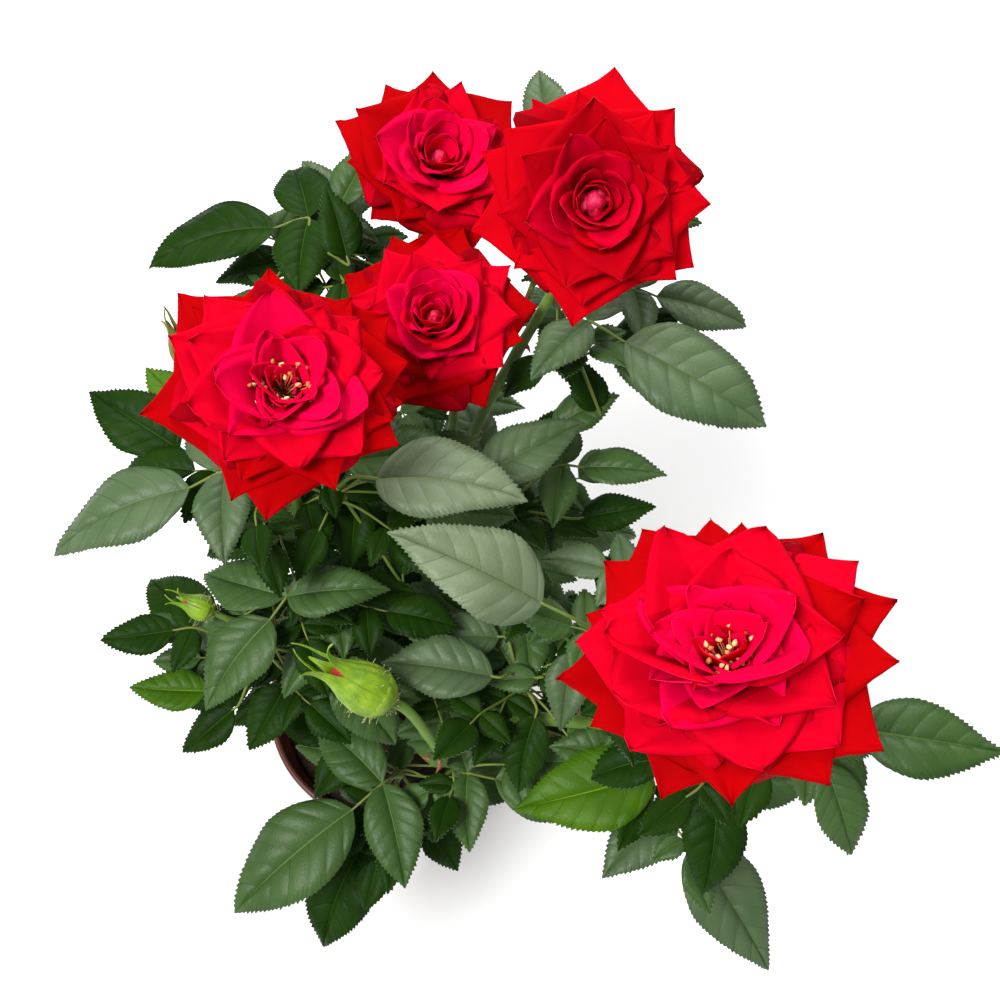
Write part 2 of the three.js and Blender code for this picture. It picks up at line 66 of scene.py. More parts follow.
POT = {"height": 90, "rim": 52.5, "base": 36, "wall": 1.6, "lip": 12, "step": 2.6, "floor": 2.4}
WALL_TOP = POT["rim"] - POT["step"] - 0.8
DRAIN = {"count": 6, "radius": 4.2, "ring": 24}
SOIL_TOP = 78
SOIL_GAP = 0.6
GOLDEN_ANGLE = math.radians(137.508)
ANY_ANGLE = (0, 6.28)
HIP = 9
HIP_RADIUS = 2.2
NECK = 12
SPUR = 3
UP = np.array([0.0, 0.0, 1.0])
LEAF_WIDTH = 0.56
SIDE_LENGTH = 0.66
LEAF_ARCH = 0.07
LEAF_FOLD = 0.22
LEAF_THICK = 0.3
LONE_STALK = 2
STALK_RADIUS = {"set": 0.62, "filling": 0.48}
PETAL_THICK = 0.35
SEPALS = 5
SEPAL_THICK = 0.3

Bloom = namedtuple(
    "Bloom", "middle facing radius turn open tint button dome spread wild ruffle", defaults=(0, 0, 1, 0.66, 1)
)
Bud = namedtuple("Bud", "foot facing radius length")
Limb = namedtuple("Limb", "points radii bears parent at", defaults=(None, None, 0))
Mass = namedtuple("Mass", "limb at hub seed finer fill leaves")
Blade = namedtuple("Blade", "base along up length")
Leaf = namedtuple(
    "Leaf", "joint tip tint sides size stalk set", defaults=(None, SIDE_LENGTH, LONE_STALK, True)
)

# "turn" is the azimuth of a bloom's first petal, in degrees. "open" runs from 0 for a fresh bloom to 1 for a
# spent one, and "dome" from 0 to 1 for petals that arch over. "spread" lengthens the petals, "wild" is the
# share of the way in to the heart where disorder starts, and "ruffle" deepens the waves of the petals' edges.
# "tint" names the reds, and "button" is the girth of a closed heart, where there are no stamens.
BLOOMS = {
    "bloom_top_left": Bloom([24, 117, 269], [0.18, -0.3, 0.93], 29, 30, 0.1, "open", 1.0, spread=1.06),
    "bloom_top_right": Bloom([69, 62, 304], [0, -0.62, 0.78], 29, 65, 0.1, "fresh", 1.35),
    "bloom_middle": Bloom([24, 64, 254], [0, -0.3, 0.95], 28.5, 100, 0, "open", 0.8),
    "bloom_left": Bloom([-11, 13, 288], [0.25, -0.27, 0.92], 31, 0, 0.7, "open", dome=0.15),
    "bloom_right": Bloom(
        [95, -57, 283], [-0.25, 0.05, 0.96], 36, 50, 0.75, "open", dome=0.1, wild=0.4, ruffle=1.6
    ),
}
BUDS = {
    "bud_front": Bud([11, -40, 200], [-0.74, 0.22, 0.64], 7.5, 22),
    "bud_side": Bud([-50, -7, 192], [-0.85, 0.2, 0.48], 4, 10),
}
# A small bud half behind the left bloom, on a thin stalk from the hub of a mass.
LATE_BUD = Bud([-44, 36, 268], [-0.2, 0.35, 0.9], 3.3, 11)
LATE_BUD_MASS = "foliage_left"
# A cane's first point is its (x, y) on the soil. A bough leaves its parent at a share of the parent's length.
LIMBS = {
    "cane_back": Limb(
        [[8, 12], [11, 15, 105], [20, 36, 160], [36, 56, 208], [62, 76, 258]], [2.6, 1.9], "bloom_top_right"
    ),
    "cane_left": Limb([[-12, 2], [-14, 4, 105], [-22, 10, 160], [-20, 16, 215]], [2.5, 1.9], "bloom_left"),
    "cane_right": Limb([[15, -8], [19, -10, 102], [46, -28, 150], [80, -48, 205]], [2.7, 2], "bloom_right"),
    "cane_front": Limb([[2, -17], [5, -20, 102], [20, -40, 136], [25, -48, 170]], [2.4, 2], "bud_front"),
    "cane_rear": Limb([[-9, 15], [-11, 19, 105], [-19, 44, 165], [-24, 76, 213], [-20, 97, 238]], [2.2, 1.5]),
    "bough_top_left": Limb([[4, 60, 184], [13, 104, 224]], [1.9, 1.7], "bloom_top_left", "cane_back", 0.3),
    "bough_middle": Limb([[28, 66, 208]], [1.8, 1.7], "bloom_middle", "cane_back", 0.5),
    "bough_side": Limb([[-36, -1, 168]], [1.4, 1.2], "bud_side", "cane_left", 0.42),
}
# A mass leaves its limb at a share of its length, and grows round its hub. "seed" and "fill" are the frame's
# own, "finer" is the seed of the finer leaves, and "leaves" are those set by place.
# A leaf is (joint of its side pair, tip of its end leaflet, tint, angles of the pair or None, size of the
# pair, length of the stalk of a leaf that has no pair). The last three may be left out. One that is "set" by
# place gives way to nothing.
# The dark tints of set leaves are partly painted shade, and the pale and grey ones partly painted sheen.
MASSES = {
    "foliage_rear_left": Mass("cane_rear", 1, [-19, 102, 244], 89, 19, 3, [
        ([-20, 110, 252], [-76, 100, 240], "dark", (78, 82)),
        ([-5, 90, 251], [-12, 109, 267], "dark"),
        ([-7, 86, 247], [-38, 84, 238], "dark", (86, 80)),
        ([-26, 108, 233], [-57, 105, 227], "dark"),
        ([-6, 118, 236], [-26, 143, 248], "grey"),
    ]),
    "foliage_top": Mass("cane_back", 0.72, [62, 98, 264], 118, 16, 2, [
        ([62, 118, 272], [57, 150, 280], "grey", (80, 80)),
    ]),
    "foliage_upper_right": Mass("cane_back", 0.66, [70, 66, 246], 47, 57, 2, [
        ([71, 58, 261], [124, 30, 246], "grey", (95, 104), 0.55),
        ([88, 86, 244], [127, 79, 234], "grey", (70, 75)),
        ([80, 74, 229], [107, 81, 238], "dark"),
        ([78, 52, 219], [68, 70, 229], "dark"),
    ]),
    "foliage_mid_right": Mass("cane_back", 0.38, [46, 36, 186], 130, 57, 5, [
        ([64, 33, 219], [98, 29, 220], "mid", (88, 92), 0.8),
        ([36, 19, 232], [70, 37, 239], "grey"),
        ([70, 27, 194], [97, 29, 200], "dark"),
        ([60, 50, 214], [84, 60, 222], "mid"),
    ]),
    "foliage_centre_right": Mass("cane_right", 0.64, [74, -26, 218], 127, 53, 2, [
        ([63, -28, 238], [14, -12, 258], "pale", None, 0, 8),
        ([82, -8, 225], [56, -2, 221], "grey", (60, 70)),
        ([67, -27, 214], [62, -50, 203], "grey"),
    ]),
    "foliage_left": Mass("cane_left", 0.7, [-32, 22, 234], 74, 70, 3, [
        ([-38, 18, 240], [-93, -1, 223], "grey", (75, 84), 0.6),
        ([-58, 36, 222], [-90, 55, 231], "dark"),
        ([-52, 46, 222], [-74, 66, 228], "young"),
    ]),
    "foliage_centre": Mass("cane_left", 0.66, [-6, 21, 226], 146, 14, 3, [
        ([6, 12, 246], [52, 3, 249], "pale"),
        ([-2, 24, 218], [-4, 1, 208], "dark"),
        ([12, 2, 196], [12, 22, 206], "dark"),
    ]),
    "foliage_left_low": Mass("cane_left", 0.55, [-24, -2, 200], 145, 19, 3, [
        ([-23, -8, 207], [-48, -40, 192], "mid", (132, 72), 0.95),
    ]),
    "foliage_far_left": Mass("bough_side", 0.15, [-40, -12, 168], 2, 14, 2, [
        ([-58, -9, 184], [-88, -14, 186], "dark", (62, 70)),
        ([-52, -27, 172], [-80, -26, 174], "young"),
        ([-46, -28, 161], [-66, -42, 153], "dark"),
        ([-28, -20, 166], [-42, -42, 155], "dark"),
    ]),
    "foliage_front_left": Mass("cane_front", 0.27, [8, -44, 128], 4, 3, 4, [
        ([3, -50, 142], [-48, -90, 125], "mid", (66, 78)),
        ([-4, -60, 112], [-22, -98, 92], "dark"),
        ([17, -54, 121], [29, -74, 110], "dark"),
    ]),
    "foliage_front": Mass("cane_front", 0.53, [30, -47, 150], 83, 57, 3, [
        ([33, -49, 152], [80, -57, 144], "mid", (118, 78)),
    ]),
    "foliage_front_centre": Mass("cane_right", 0.47, [50, -24, 178], 112, 74, 3, [
        ([44, -30, 194], [6, -24, 194], "grey"),
        ([46, -14, 188], [14, -14, 188], "grey"),
        ([58, -27, 186], [40, -28, 184], "mid"),
        ([56, -36, 181], [50, -60, 168], "dark"),
    ]),
    "foliage_front_right": Mass("cane_right", 0.42, [94, -58, 186], 3, 70, 2, [
        ([92, -60, 196], [48, -70, 193], "young"),
        ([99, -66, 169], [129, -110, 148], "grey", (70, 84)),
        ([107, -64, 203], [103, -93, 185], "dark"),
        ([103, -46, 202], [76, -44, 202], "dark"),
    ]),
    "foliage_right": Mass("cane_right", 0.68, [116, -59, 232], 123, 43, 2, [
        ([128, -62, 234], [139, -88, 215], "mid", (60, 30)),
        ([137, -59, 235], [177, -65, 235], "mid"),
        ([124, -52, 222], [148, -36, 214], "grey"),
    ]),
    "foliage_back": Mass("bough_top_left", 0.15, [-4, 88, 188], 25, 69, 6, []),
    "foliage_back_low": Mass("cane_rear", 0.2, [-16, 56, 142], 2, 30, 6, []),
    "foliage_back_right": Mass("cane_back", 0.12, [32, 46, 138], 119, 82, 6, []),
    "foliage_low": Mass("cane_left", 0.2, [-30, -8, 132], 58, 44, 6, []),
    "foliage_under_right": Mass("cane_right", 0.2, [52, -10, 134], 132, 67, 6, []),
}
# The rules by which a mass fills up: the frame's own, and one for smaller leaves that only this script adds.
# "blooms" is how many of a bloom's radii a leaf keeps from its middle. A leaf doesn't go below "floor".
# Of the rules' tints, the dark one is partly painted shade and the grey one partly painted sheen.
FILL = {
    "reach": (10, 22), "length": (28, 38), "rise": (-28, 22), "blooms": 1.12, "floor": 98, "spacing": 15,
    "tints": ["mid", "dark", "mid", "grey", "dark"],
}
FINER = {
    "reach": (4, 26), "length": (17, 27), "rise": (-34, 26), "blooms": 1.0, "floor": 96, "spacing": 10,
    "tints": ["dark", "mid", "dark", "dark", "mid"], "each": 9,
}
# A leaf of the rules is left out where it would stand between the sun and a set leaf, a bloom or a bud that
# is less than SHADE_REACH off.
SUN = np.array([0, -0.5, math.sqrt(0.75)])
SHADE_REACH = 60


# ---- Small helpers ----
def mix(a, b, t):
    return a + (b - a) * t


def unit(v):
    v = np.asarray(v, float)
    return v / np.linalg.norm(v)


def across(v, axis):
    """The part of v that is square to a unit axis, as a unit vector."""
    return unit(v - np.dot(v, axis) * axis)


def square_to(axis):
    """Some unit vector that is square to a unit axis."""
    return across(UP if abs(axis[2]) < 0.9 else np.array([1.0, 0, 0]), axis)


def turned(v, axis, angle):
    return np.array(Matrix.Rotation(angle, 3, Vector(axis)) @ Vector(v))


def level_axes(azimuth):
    """Two level unit vectors: outwards at an azimuth, and square to that, anticlockwise."""
    x, y = math.cos(azimuth), math.sin(azimuth)
    return np.array([x, y, 0]), np.array([-y, x, 0])


def ease(low, high, x):
    t = np.clip((x - low) / (high - low), 0, 1)
    return t * t * (3 - 2 * t)


def seeded(seed):
    """Park and Miller's generator, as the frame's own source has it."""
    modulus = 2147483647
    state = seed

    def draw(low=0.0, high=1.0):
        nonlocal state
        state = state * 16807 % modulus
        return mix(low, high, state / modulus)

    return draw


# ---- Meshes ----
class Gathered:
    """Faces that end as one joined mesh. Points are in millimetres."""

    def __init__(self):
        self.points, self.faces, self.slots, self.count = [], [], [], 0

    def add(self, body, slots=0, place=None):
        points, faces = body
        self.points.append(place(points) if place else points)
        self.faces.extend([i + self.count for i in face] for face in faces)
        self.slots.append(np.broadcast_to(slots, len(faces)))
        self.count += len(points)

    def mesh(self, name):
        mesh = bpy.data.meshes.new(name)
        mesh.from_pydata((np.concatenate(self.points) * MM).tolist(), [], self.faces)
        return mesh


def piece(name, gathered, materials, replaces=()):
    mesh = gathered.mesh(name)
    mesh.polygons.foreach_set("material_index", np.concatenate(gathered.slots).astype(np.int32))
    mesh.polygons.foreach_set("use_smooth", np.full(len(mesh.polygons), True))
    for finish in materials:
        mesh.materials.append(finish)
    mesh.update()
    made = bpy.data.objects.new(name, mesh)
    bpy.context.scene.collection.objects.link(made)
    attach(made, "root")
    if replaces:
        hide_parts(*replaces)
    return made


def grid_normals(grid):
    rows, columns = np.gradient(grid, axis=0), np.gradient(grid, axis=1)
    normals = np.cross(columns, rows)
    return normals / np.maximum(np.linalg.norm(normals, axis=2, keepdims=True), 1e-9)


def quads(index):
    """Four-sided faces between the neighbours in a grid of point numbers."""
    return np.stack([index[:-1, :-1], index[:-1, 1:], index[1:, 1:], index[1:, :-1]], -1).reshape(-1, 4)


def shell(grid, thickness):
    """A closed sheet with the grid as its upper side. The faces of that side come first, its edge last."""
    rows, columns = grid.shape[:2]
    total = rows * columns
    index = np.arange(total).reshape(rows, columns)
    upper = quads(index)
    edge = np.concatenate([index[0, :-1], index[:-1, -1], index[-1, :0:-1], index[:0:-1, 0]])
    after = np.roll(edge, -1)
    rim = np.stack([after, edge, edge + total, after + total], -1)
    lower = grid - thickness * grid_normals(grid)
    points = np.concatenate([grid.reshape(-1, 3), lower.reshape(-1, 3)])
    return points, np.concatenate([upper, upper[:, ::-1] + total, rim]).tolist()


def smooth_route(points, steps):
    """A centripetal Catmull-Rom curve through points, with the same number of steps in each span."""
    p = [np.asarray(q, float) for q in points]
    p = [2 * p[0] - p[1], *p, 2 * p[-1] - p[-2]]
    route = []
    for a, b, c, d in zip(p, p[1:], p[2:], p[3:]):
        before, here, after = (math.sqrt(np.linalg.norm(y - x)) for x, y in ((a, b), (b, c), (c, d)))
        leave = here * ((b - a) / before - (c - a) / (before + here) + (c - b) / here)
        arrive = here * ((c - b) / here - (d - b) / (here + after) + (d - c) / after)
        squared = 3 * (c - b) - 2 * leave - arrive
        cubed = 2 * (b - c) + leave + arrive
        for t in np.arange(steps) / steps:
            route.append(b + leave * t + squared * t**2 + cubed * t**3)
    return np.array([*route, p[-2]])


def skin(rings, foot, tip):
    """A closed body through rings of points, with a fan to a middle point at either end."""
    sides = len(rings[0])
    index = np.arange(len(rings) * sides).reshape(-1, sides)
    turn = np.roll(index, -1, axis=1)
    faces = np.stack([index[:-1], turn[:-1], turn[1:], index[1:]], -1).reshape(-1, 4).tolist()
    faces += [[b, a, index.size] for a, b in zip(index[0].tolist(), turn[0].tolist())]
    faces += [[a, b, index.size + 1] for a, b in zip(index[-1].tolist(), turn[-1].tolist())]
    return np.concatenate([*rings, [foot, tip]]), faces


def tube(route, radii, sides):
    """A tube round a route. radii is a number for each point, or (points, sides) for one with relief."""
    route = np.asarray(route, float)
    along = np.gradient(route, axis=0)
    along /= np.linalg.norm(along, axis=1, keepdims=True)
    radii = np.asarray(radii, float).reshape(len(route), -1)
    side = square_to(along[0])
    angles = np.arange(sides) / sides * math.tau
    rings = []
    for k, centre in enumerate(route):
        side = across(side, along[k])
        other = np.cross(along[k], side)
        ring = np.outer(np.cos(angles), side) + np.outer(np.sin(angles), other)
        rings.append(centre + ring * radii[k][:, None])
    return skin(rings, route[0], route[-1])


def lathe(profile, segments):
    """A closed body about Z. The profile is (radius, height) from the axis back to the axis, bottom first."""
    angles = np.arange(segments) / segments * math.tau
    circle = np.stack([np.cos(angles), np.sin(angles), np.zeros(segments)], -1)
    rings = [circle * r + UP * z for r, z in profile[1:-1]]
    return skin(rings, UP * profile[0][1], UP * profile[-1][1])


def grid_about(azimuth, outward, sideways, height):
    """A grid of points by how far they lie outwards at an azimuth, sideways (clockwise) from it, and up."""
    out, lateral = level_axes(azimuth)
    return outward[..., None] * out - sideways[..., None] * lateral + height[..., None] * UP


def facing_frame(origin, facing):
    """Takes points about +Z at the origin to a seat that faces another way."""
    turn = np.array(Vector(UP).rotation_difference(Vector(facing)).to_matrix())
    return lambda points: np.asarray(points) @ turn.T + origin


# ---- Materials ----
def material(name, tones, roughness, grain=60, bump=0.15, fine=700, cells=False, **sockets):
    """A finish whose colour wanders between two tones, with a fine relief. Sizes of noise are per metre."""
    made = bpy.data.materials.new(name)
    made.use_nodes = True
    nodes, links = made.node_tree.nodes, made.node_tree.links
    shader = nodes["Principled BSDF"]
    place = nodes.new("ShaderNodeTexCoord")
    wander = nodes.new("ShaderNodeTexNoise")
    wander.inputs["Scale"].default_value = grain
    wander.inputs["Detail"].default_value = 4
    ramp = nodes.new("ShaderNodeValToRGB")
    for element, colour, position in zip(ramp.color_ramp.elements, tones, (0.3, 0.7)):
        element.position = position
        element.color = (*colour, 1)
    rough = nodes.new("ShaderNodeMapRange")
    rough.inputs["To Min"].default_value = roughness - 0.05
    rough.inputs["To Max"].default_value = roughness + 0.05
    relief = nodes.new("ShaderNodeTexVoronoi" if cells else "ShaderNodeTexNoise")
    relief.inputs["Scale"].default_value = fine
    height = nodes.new("ShaderNodeBump")
    height.inputs["Strength"].default_value = bump
    height.inputs["Distance"].default_value = 0.3 * MM
    links.new(place.outputs["Object"], wander.inputs["Vector"])
    links.new(place.outputs["Object"], relief.inputs["Vector"])
    links.new(wander.outputs["Fac"], ramp.inputs["Fac"])
    links.new(ramp.outputs["Color"], shader.inputs["Base Color"])
    links.new(wander.outputs["Fac"], rough.inputs["Value"])
    links.new(rough.outputs["Result"], shader.inputs["Roughness"])
    links.new(relief.outputs["Distance" if cells else "Fac"], height.inputs["Height"])
    links.new(height.outputs["Normal"], shader.inputs["Normal"])
    for socket, value in sockets.items():
        shader.inputs[socket.replace("_", " ")].default_value = value
    return made


def tone(red, green, blue):
    """A colour given as 8-bit sRGB, made linear."""
    shares = (red / 255, green / 255, blue / 255)
    return tuple(c / 12.92 if c <= 0.04045 else ((c + 0.055) / 1.055) ** 2.4 for c in shares)


# Leaf tints. The pale and grey ones are greyed partly as painted sheen, the sky's reflection on leaves that
# face up, and partly as the leaves' own grey-green. The dark one is partly painted shade, for leaves in the
# shade of others, and partly a darker green of their own.
LEAF_TINTS = {
    "pale": {"face": (tone(90, 108, 77), tone(110, 126, 94)), "rib": tone(96, 112, 66), "gloss": 0.34},
    "grey": {"face": (tone(62, 86, 50), tone(84, 104, 68)), "rib": tone(76, 98, 48), "gloss": 0.33},
    "mid": {"face": (tone(48, 78, 28), tone(68, 96, 46)), "rib": tone(82, 110, 48), "gloss": 0.3},
    "dark": {"face": (tone(16, 42, 0), tone(32, 60, 8)), "rib": tone(46, 74, 14), "gloss": 0.08},
    "young": {"face": (tone(46, 84, 0), tone(70, 108, 4)), "rib": tone(104, 136, 26), "gloss": 0.18},
}
UNDERSIDE = tone(120, 140, 100)


def leaf_materials(name, look):
    """A leaf's face, underside, midrib, and side veins painted darker as the shade in their grooves."""
    under = [tuple(mix(c, g, 0.45) for c, g in zip(colour, UNDERSIDE)) for colour in look["face"]]
    # Side veins are painted darker as the shade in their sunken grooves.
    vein_shade = [tuple(0.76 * c for c in colour) for colour in look["face"]]
    rib = [look["rib"]] * 2
    gloss = look["gloss"]
    return [
        material(f"leaf_{name}", look["face"], 0.47, 45, 0.22, 1300, True, Specular_IOR_Level=gloss),
        material(f"leaf_{name}_under", under, 0.6, 45, 0.25, 1300, True),
        material(f"leaf_{name}_rib", rib, 0.5, bump=0.1, Specular_IOR_Level=gloss),
        material(f"leaf_{name}_vein", vein_shade, 0.5, bump=0.1, Specular_IOR_Level=gloss),
    ]


# ---- Limbs ----
CANE_SIDES = 14
# Shares of a limb's length where it has a node, besides those where something leaves it.
BARE_NODES = [0.06, 0.34, 0.86]
# Shares at which thorns stand, before a small random shift.
THORN_SHARES = np.arange(0.07, 0.8, 0.085)


def on_limb(limb, share):
    """The middle of a limb at a share of its length, with its direction and radius there."""
    k = max(1, int(np.searchsorted(limb["shares"], share)))
    a, b = limb["route"][k - 1], limb["route"][k]
    low, high = limb["shares"][k - 1 : k + 1]
    t = (share - low) / (high - low)
    return mix(a, b, t), unit(b - a), mix(limb["radii"][k - 1], limb["radii"][k], t)


def budding(limb, at, target):
    """The first two points of a side stem, with its foot sunk into the limb that it leaves."""
    middle, along, radius = on_limb(limb, at)
    out = along if at == 1 else across(np.asarray(target, float) - middle, along)
    surface = middle + out * (0 if at == 1 else radius)
    return [surface - out * 0.6 * radius, surface + out * SPUR]


def seat_of(name):
    """Where the thing that a limb bears is seated, the way it faces, and the length of its neck."""
    if name in BUDS:
        return np.array(BUDS[name].foot, float), unit(BUDS[name].facing), NECK / 2
    bloom = BLOOMS[name]
    facing = unit(bloom.facing)
    return np.array(bloom.middle) - facing * (HIP + 0.1 * bloom.radius), facing, NECK


def grow_limbs(steps=14):
    made = {}
    for name, spec in LIMBS.items():
        first, *rest = spec.points
        if spec.parent:
            route = [*budding(made[spec.parent], spec.at, first), first, *rest]
        else:
            route = [[*first, SOIL_TOP - 1], [*first, SOIL_TOP + 8], *rest]
        if spec.bears:
            seat, facing, neck = seat_of(spec.bears)
            route += [seat - facing * neck, seat + facing * 0.4]
        line = smooth_route(route, steps)
        shares = np.concatenate([[0], np.cumsum(np.linalg.norm(np.diff(line, axis=0), axis=1))])
        shares /= shares[-1]
        radii = mix(*spec.radii, shares) * mix(1, 0.78, shares)
        if not spec.parent:
            radii = radii * (1 + 0.4 * np.exp(-shares / 0.035))
        made[name] = {"route": line, "shares": shares, "radii": radii}
    return made


def add_thorn(gathered, limb, share, azimuth, length):
    middle, along, radius = on_limb(limb, share)
    out = turned(square_to(along), along, azimuth)
    foot = middle + out * (radius - 0.25)
    bend = unit(out - 0.55 * along)
    route = [foot, foot + out * 0.45 * length, foot + (out * 0.5 + bend * 0.5) * length]
    gathered.add(tube(smooth_route(route, 3), np.linspace(0.32, 0.02, 7) * length, 6), 1)


def dress_limbs(limbs):
    """Ribbed canes and boughs with swollen nodes, and their thorns."""
    gathered = Gathered()
    angles = np.arange(CANE_SIDES) / CANE_SIDES * math.tau
    draw = np.random.RandomState(5).uniform
    for name, limb in limbs.items():
        shares = limb["shares"]
        nodes = [m.at for m in MASSES.values() if m.limb == name]
        nodes += [s.at for s in LIMBS.values() if s.parent == name] + BARE_NODES
        swell = sum(np.exp(-(((shares - at) / 0.012) ** 2)) for at in nodes)
        ribs = 0.035 * np.sin(5 * angles[None, :] + 9 * shares[:, None])
        ribs = ribs + 0.02 * draw(-1, 1, (len(shares), CANE_SIDES))
        radii = limb["radii"][:, None] * (1 + 0.16 * swell[:, None] + ribs)
        gathered.add(tube(limb["route"], radii, CANE_SIDES))
        for share in THORN_SHARES:
            at, azimuth = share + draw(-0.02, 0.02), draw(*ANY_ANGLE)
            add_thorn(gathered, limb, at, azimuth, draw(2, 3.4))
    bark = material("bark", (tone(68, 100, 26), tone(104, 138, 48)), 0.5, grain=38, fine=900, bump=0.35)
    thorn = material("thorn", (tone(120, 60, 40), tone(150, 96, 60)), 0.45, grain=200)
    piece("canes", gathered, [bark, thorn], LIMBS)


# ---- Leaves ----
VEINS = 7
VEIN_SHIFT = 0.35
VEIN_HALF = 0.0036
TOOTH = 1.5
COLUMNS = np.array([-1, -0.72, -0.38, -0.022, 0, 0.022, 0.38, 0.72, 1])
FEW_COLUMNS = np.array([-1, -0.6, -0.025, 0, 0.025, 0.6, 1])
LARGE_LEAFLET = 24


def leaf_outline(u, widest, point):
    """Half width along a leaflet, as a share of its greatest half width."""
    base = np.sqrt(np.clip(1 - ((u - widest) / widest) ** 2, 0, 1)) ** 1.15
    s = np.clip((u - widest) / (1 - widest), 0, 1)
    beyond = (1 - s**2) * (1 - point * s) * (1 - 0.2 * ease(0.6, 1, s))
    return np.where(u < widest, base, beyond) * 0.985 + 0.015


def leaflet_grid(blade, draw):
    """A toothed leaflet, arched, folded and quilted between its side veins, and its rows' shares of it."""
    length = blade.length
    teeth = int(np.clip(length / TOOTH, 8, 30))
    width = LEAF_WIDTH * length * draw(0.95, 1.12)
    widest, point = draw(0.36, 0.46), draw(0.2, 0.42)
    share = np.linspace(0, 1, 2 * teeth + 1)
    if length > LARGE_LEAFLET:
        lines = (np.arange(1, VEINS + 1)[:, None] - [0, VEIN_SHIFT]).ravel() / VEINS
        lines = lines[lines < 0.92]
        apart = np.abs(share[:, None] - lines).min(axis=1) > 1.5 * VEIN_HALF
        share = np.sort(np.concatenate([share[apart], lines - VEIN_HALF, lines + VEIN_HALF]))
    share = share[:, None]
    s = (COLUMNS if length > LARGE_LEAFLET else FEW_COLUMNS)[None, :]
    a = np.abs(s)
    middle, edge = share**1.3, share**0.76
    u = mix(middle, edge, a**1.3)
    half = leaf_outline(edge, widest, point) * width / 2
    x, y = s * half, u * length
    tooth = (1 - np.abs(share * teeth * 2 % 2 - 1)) * (a == 1) * draw(0.6, 1.35, x.shape)
    body = ease(0.02, 0.1, share) * (1 - ease(0.9, 1, share))
    bite = 0.37 * length / teeth
    x = x + np.sign(s) * tooth * body * 0.75 * bite
    y = y + tooth * body * bite
    phase = share * VEINS + VEIN_SHIFT * (s > 0)
    quilt = np.abs(np.sin(math.pi * phase)) ** 0.5 * np.sin(math.pi * np.clip(a, 0, 1) ** 0.8) * body
    fold = LEAF_FOLD * draw(0.6, 1.5)
    arch = 4 * u * (1 - u) * LEAF_ARCH * length * draw(0.3, 1.3)
    z = arch + fold * np.abs(x) - 0.09 * x**2 / half.max() * 2
    z = z + 0.018 * length * quilt - 0.008 * length * (a < 0.02) * body
    z = z + 0.02 * length * np.sin(math.tau * (1.6 * u + draw(0, 1)) + s) * a**2 * body
    z = z - draw(0, 0.09) * length * u**3
    lean = draw(-0.12, 0.12)
    x = x + 0.04 * draw(-1, 1) * length * np.sin(math.pi * u)
    z = z + lean * x
    right = np.cross(blade.along, blade.up)
    level = blade.base + y[..., None] * blade.along + x[..., None] * right
    return level + z[..., None] * blade.up, share[:, 0]


def leaflet_slots(count, share, spans):
    """Slots of a leaflet's faces: underside, and above it the face, the midrib and the side veins, painted
    darker as the shade in their grooves.
    """
    upper = (len(share) - 1) * spans
    row, column = np.divmod(np.arange(upper), spans)
    middle, between = spans // 2, (share[1:] + share[:-1])[row] / 2
    phase = between * VEINS + VEIN_SHIFT * (column >= middle)
    fine = (share[1:] - share[:-1])[row] < 2.1 * VEIN_HALF
    # Rows on the side veins take the green that is painted darker as shade.
    shaded_vein = fine & (np.abs(phase - np.round(phase)) < 0.5 * VEIN_HALF * VEINS)
    slots = np.ones(count, int)
    slots[:upper] = np.where((column == middle - 1) | (column == middle), 2, np.where(shaded_vein, 3, 0))
    return slots


def leaflet_shell(grid):
    """A closed leaflet whose underside has one fold. The faces of its upper side come first."""
    rows, columns = grid.shape[:2]
    sole = (grid - LEAF_THICK * grid_normals(grid))[:, [0, columns // 2, columns - 1]]
    total = rows * columns
    top = np.arange(total).reshape(rows, columns)
    under = total + np.arange(rows * 3).reshape(rows, 3)
    lower = quads(under)[:, [0, 3, 2, 1]]
    left = np.stack([top[:-1, 0], top[1:, 0], under[1:, 0], under[:-1, 0]], -1)
    right = np.stack([top[1:, -1], top[:-1, -1], under[:-1, -1], under[1:, -1]], -1)
    ends = [np.r_[top[0, ::-1], under[0]].tolist(), np.r_[top[-1], under[-1, ::-1]].tolist()]
    points = np.concatenate([grid.reshape(-1, 3), sole.reshape(-1, 3)])
    return points, [*np.concatenate([quads(top), lower, left, right]).tolist(), *ends]


def leaf_plan(leaf):
    """A leaf's joint, direction, gap up to its end leaflet, and leaflets, with the end one first."""
    joint, tip = np.array(leaf.joint, float), np.array(leaf.tip, float)
    along = unit(tip - joint)
    up = across(UP, along)
    total = np.linalg.norm(tip - joint)
    gap = 0.2 * total if leaf.sides else leaf.stalk
    length = total - gap
    blades = [Blade(joint + along * gap, along, up, length)]
    for k, degrees in enumerate(leaf.sides or ()):
        way = turned(along, up, math.radians(-degrees if k else degrees))
        way = unit(way - 0.08 * UP)
        blades.append(Blade(joint, way, across(UP, way), leaf.size * length))
    return joint, along, gap, blades


def heart_of(leaf):
    return mix(np.array(leaf.joint, float), np.array(leaf.tip, float), 0.6)


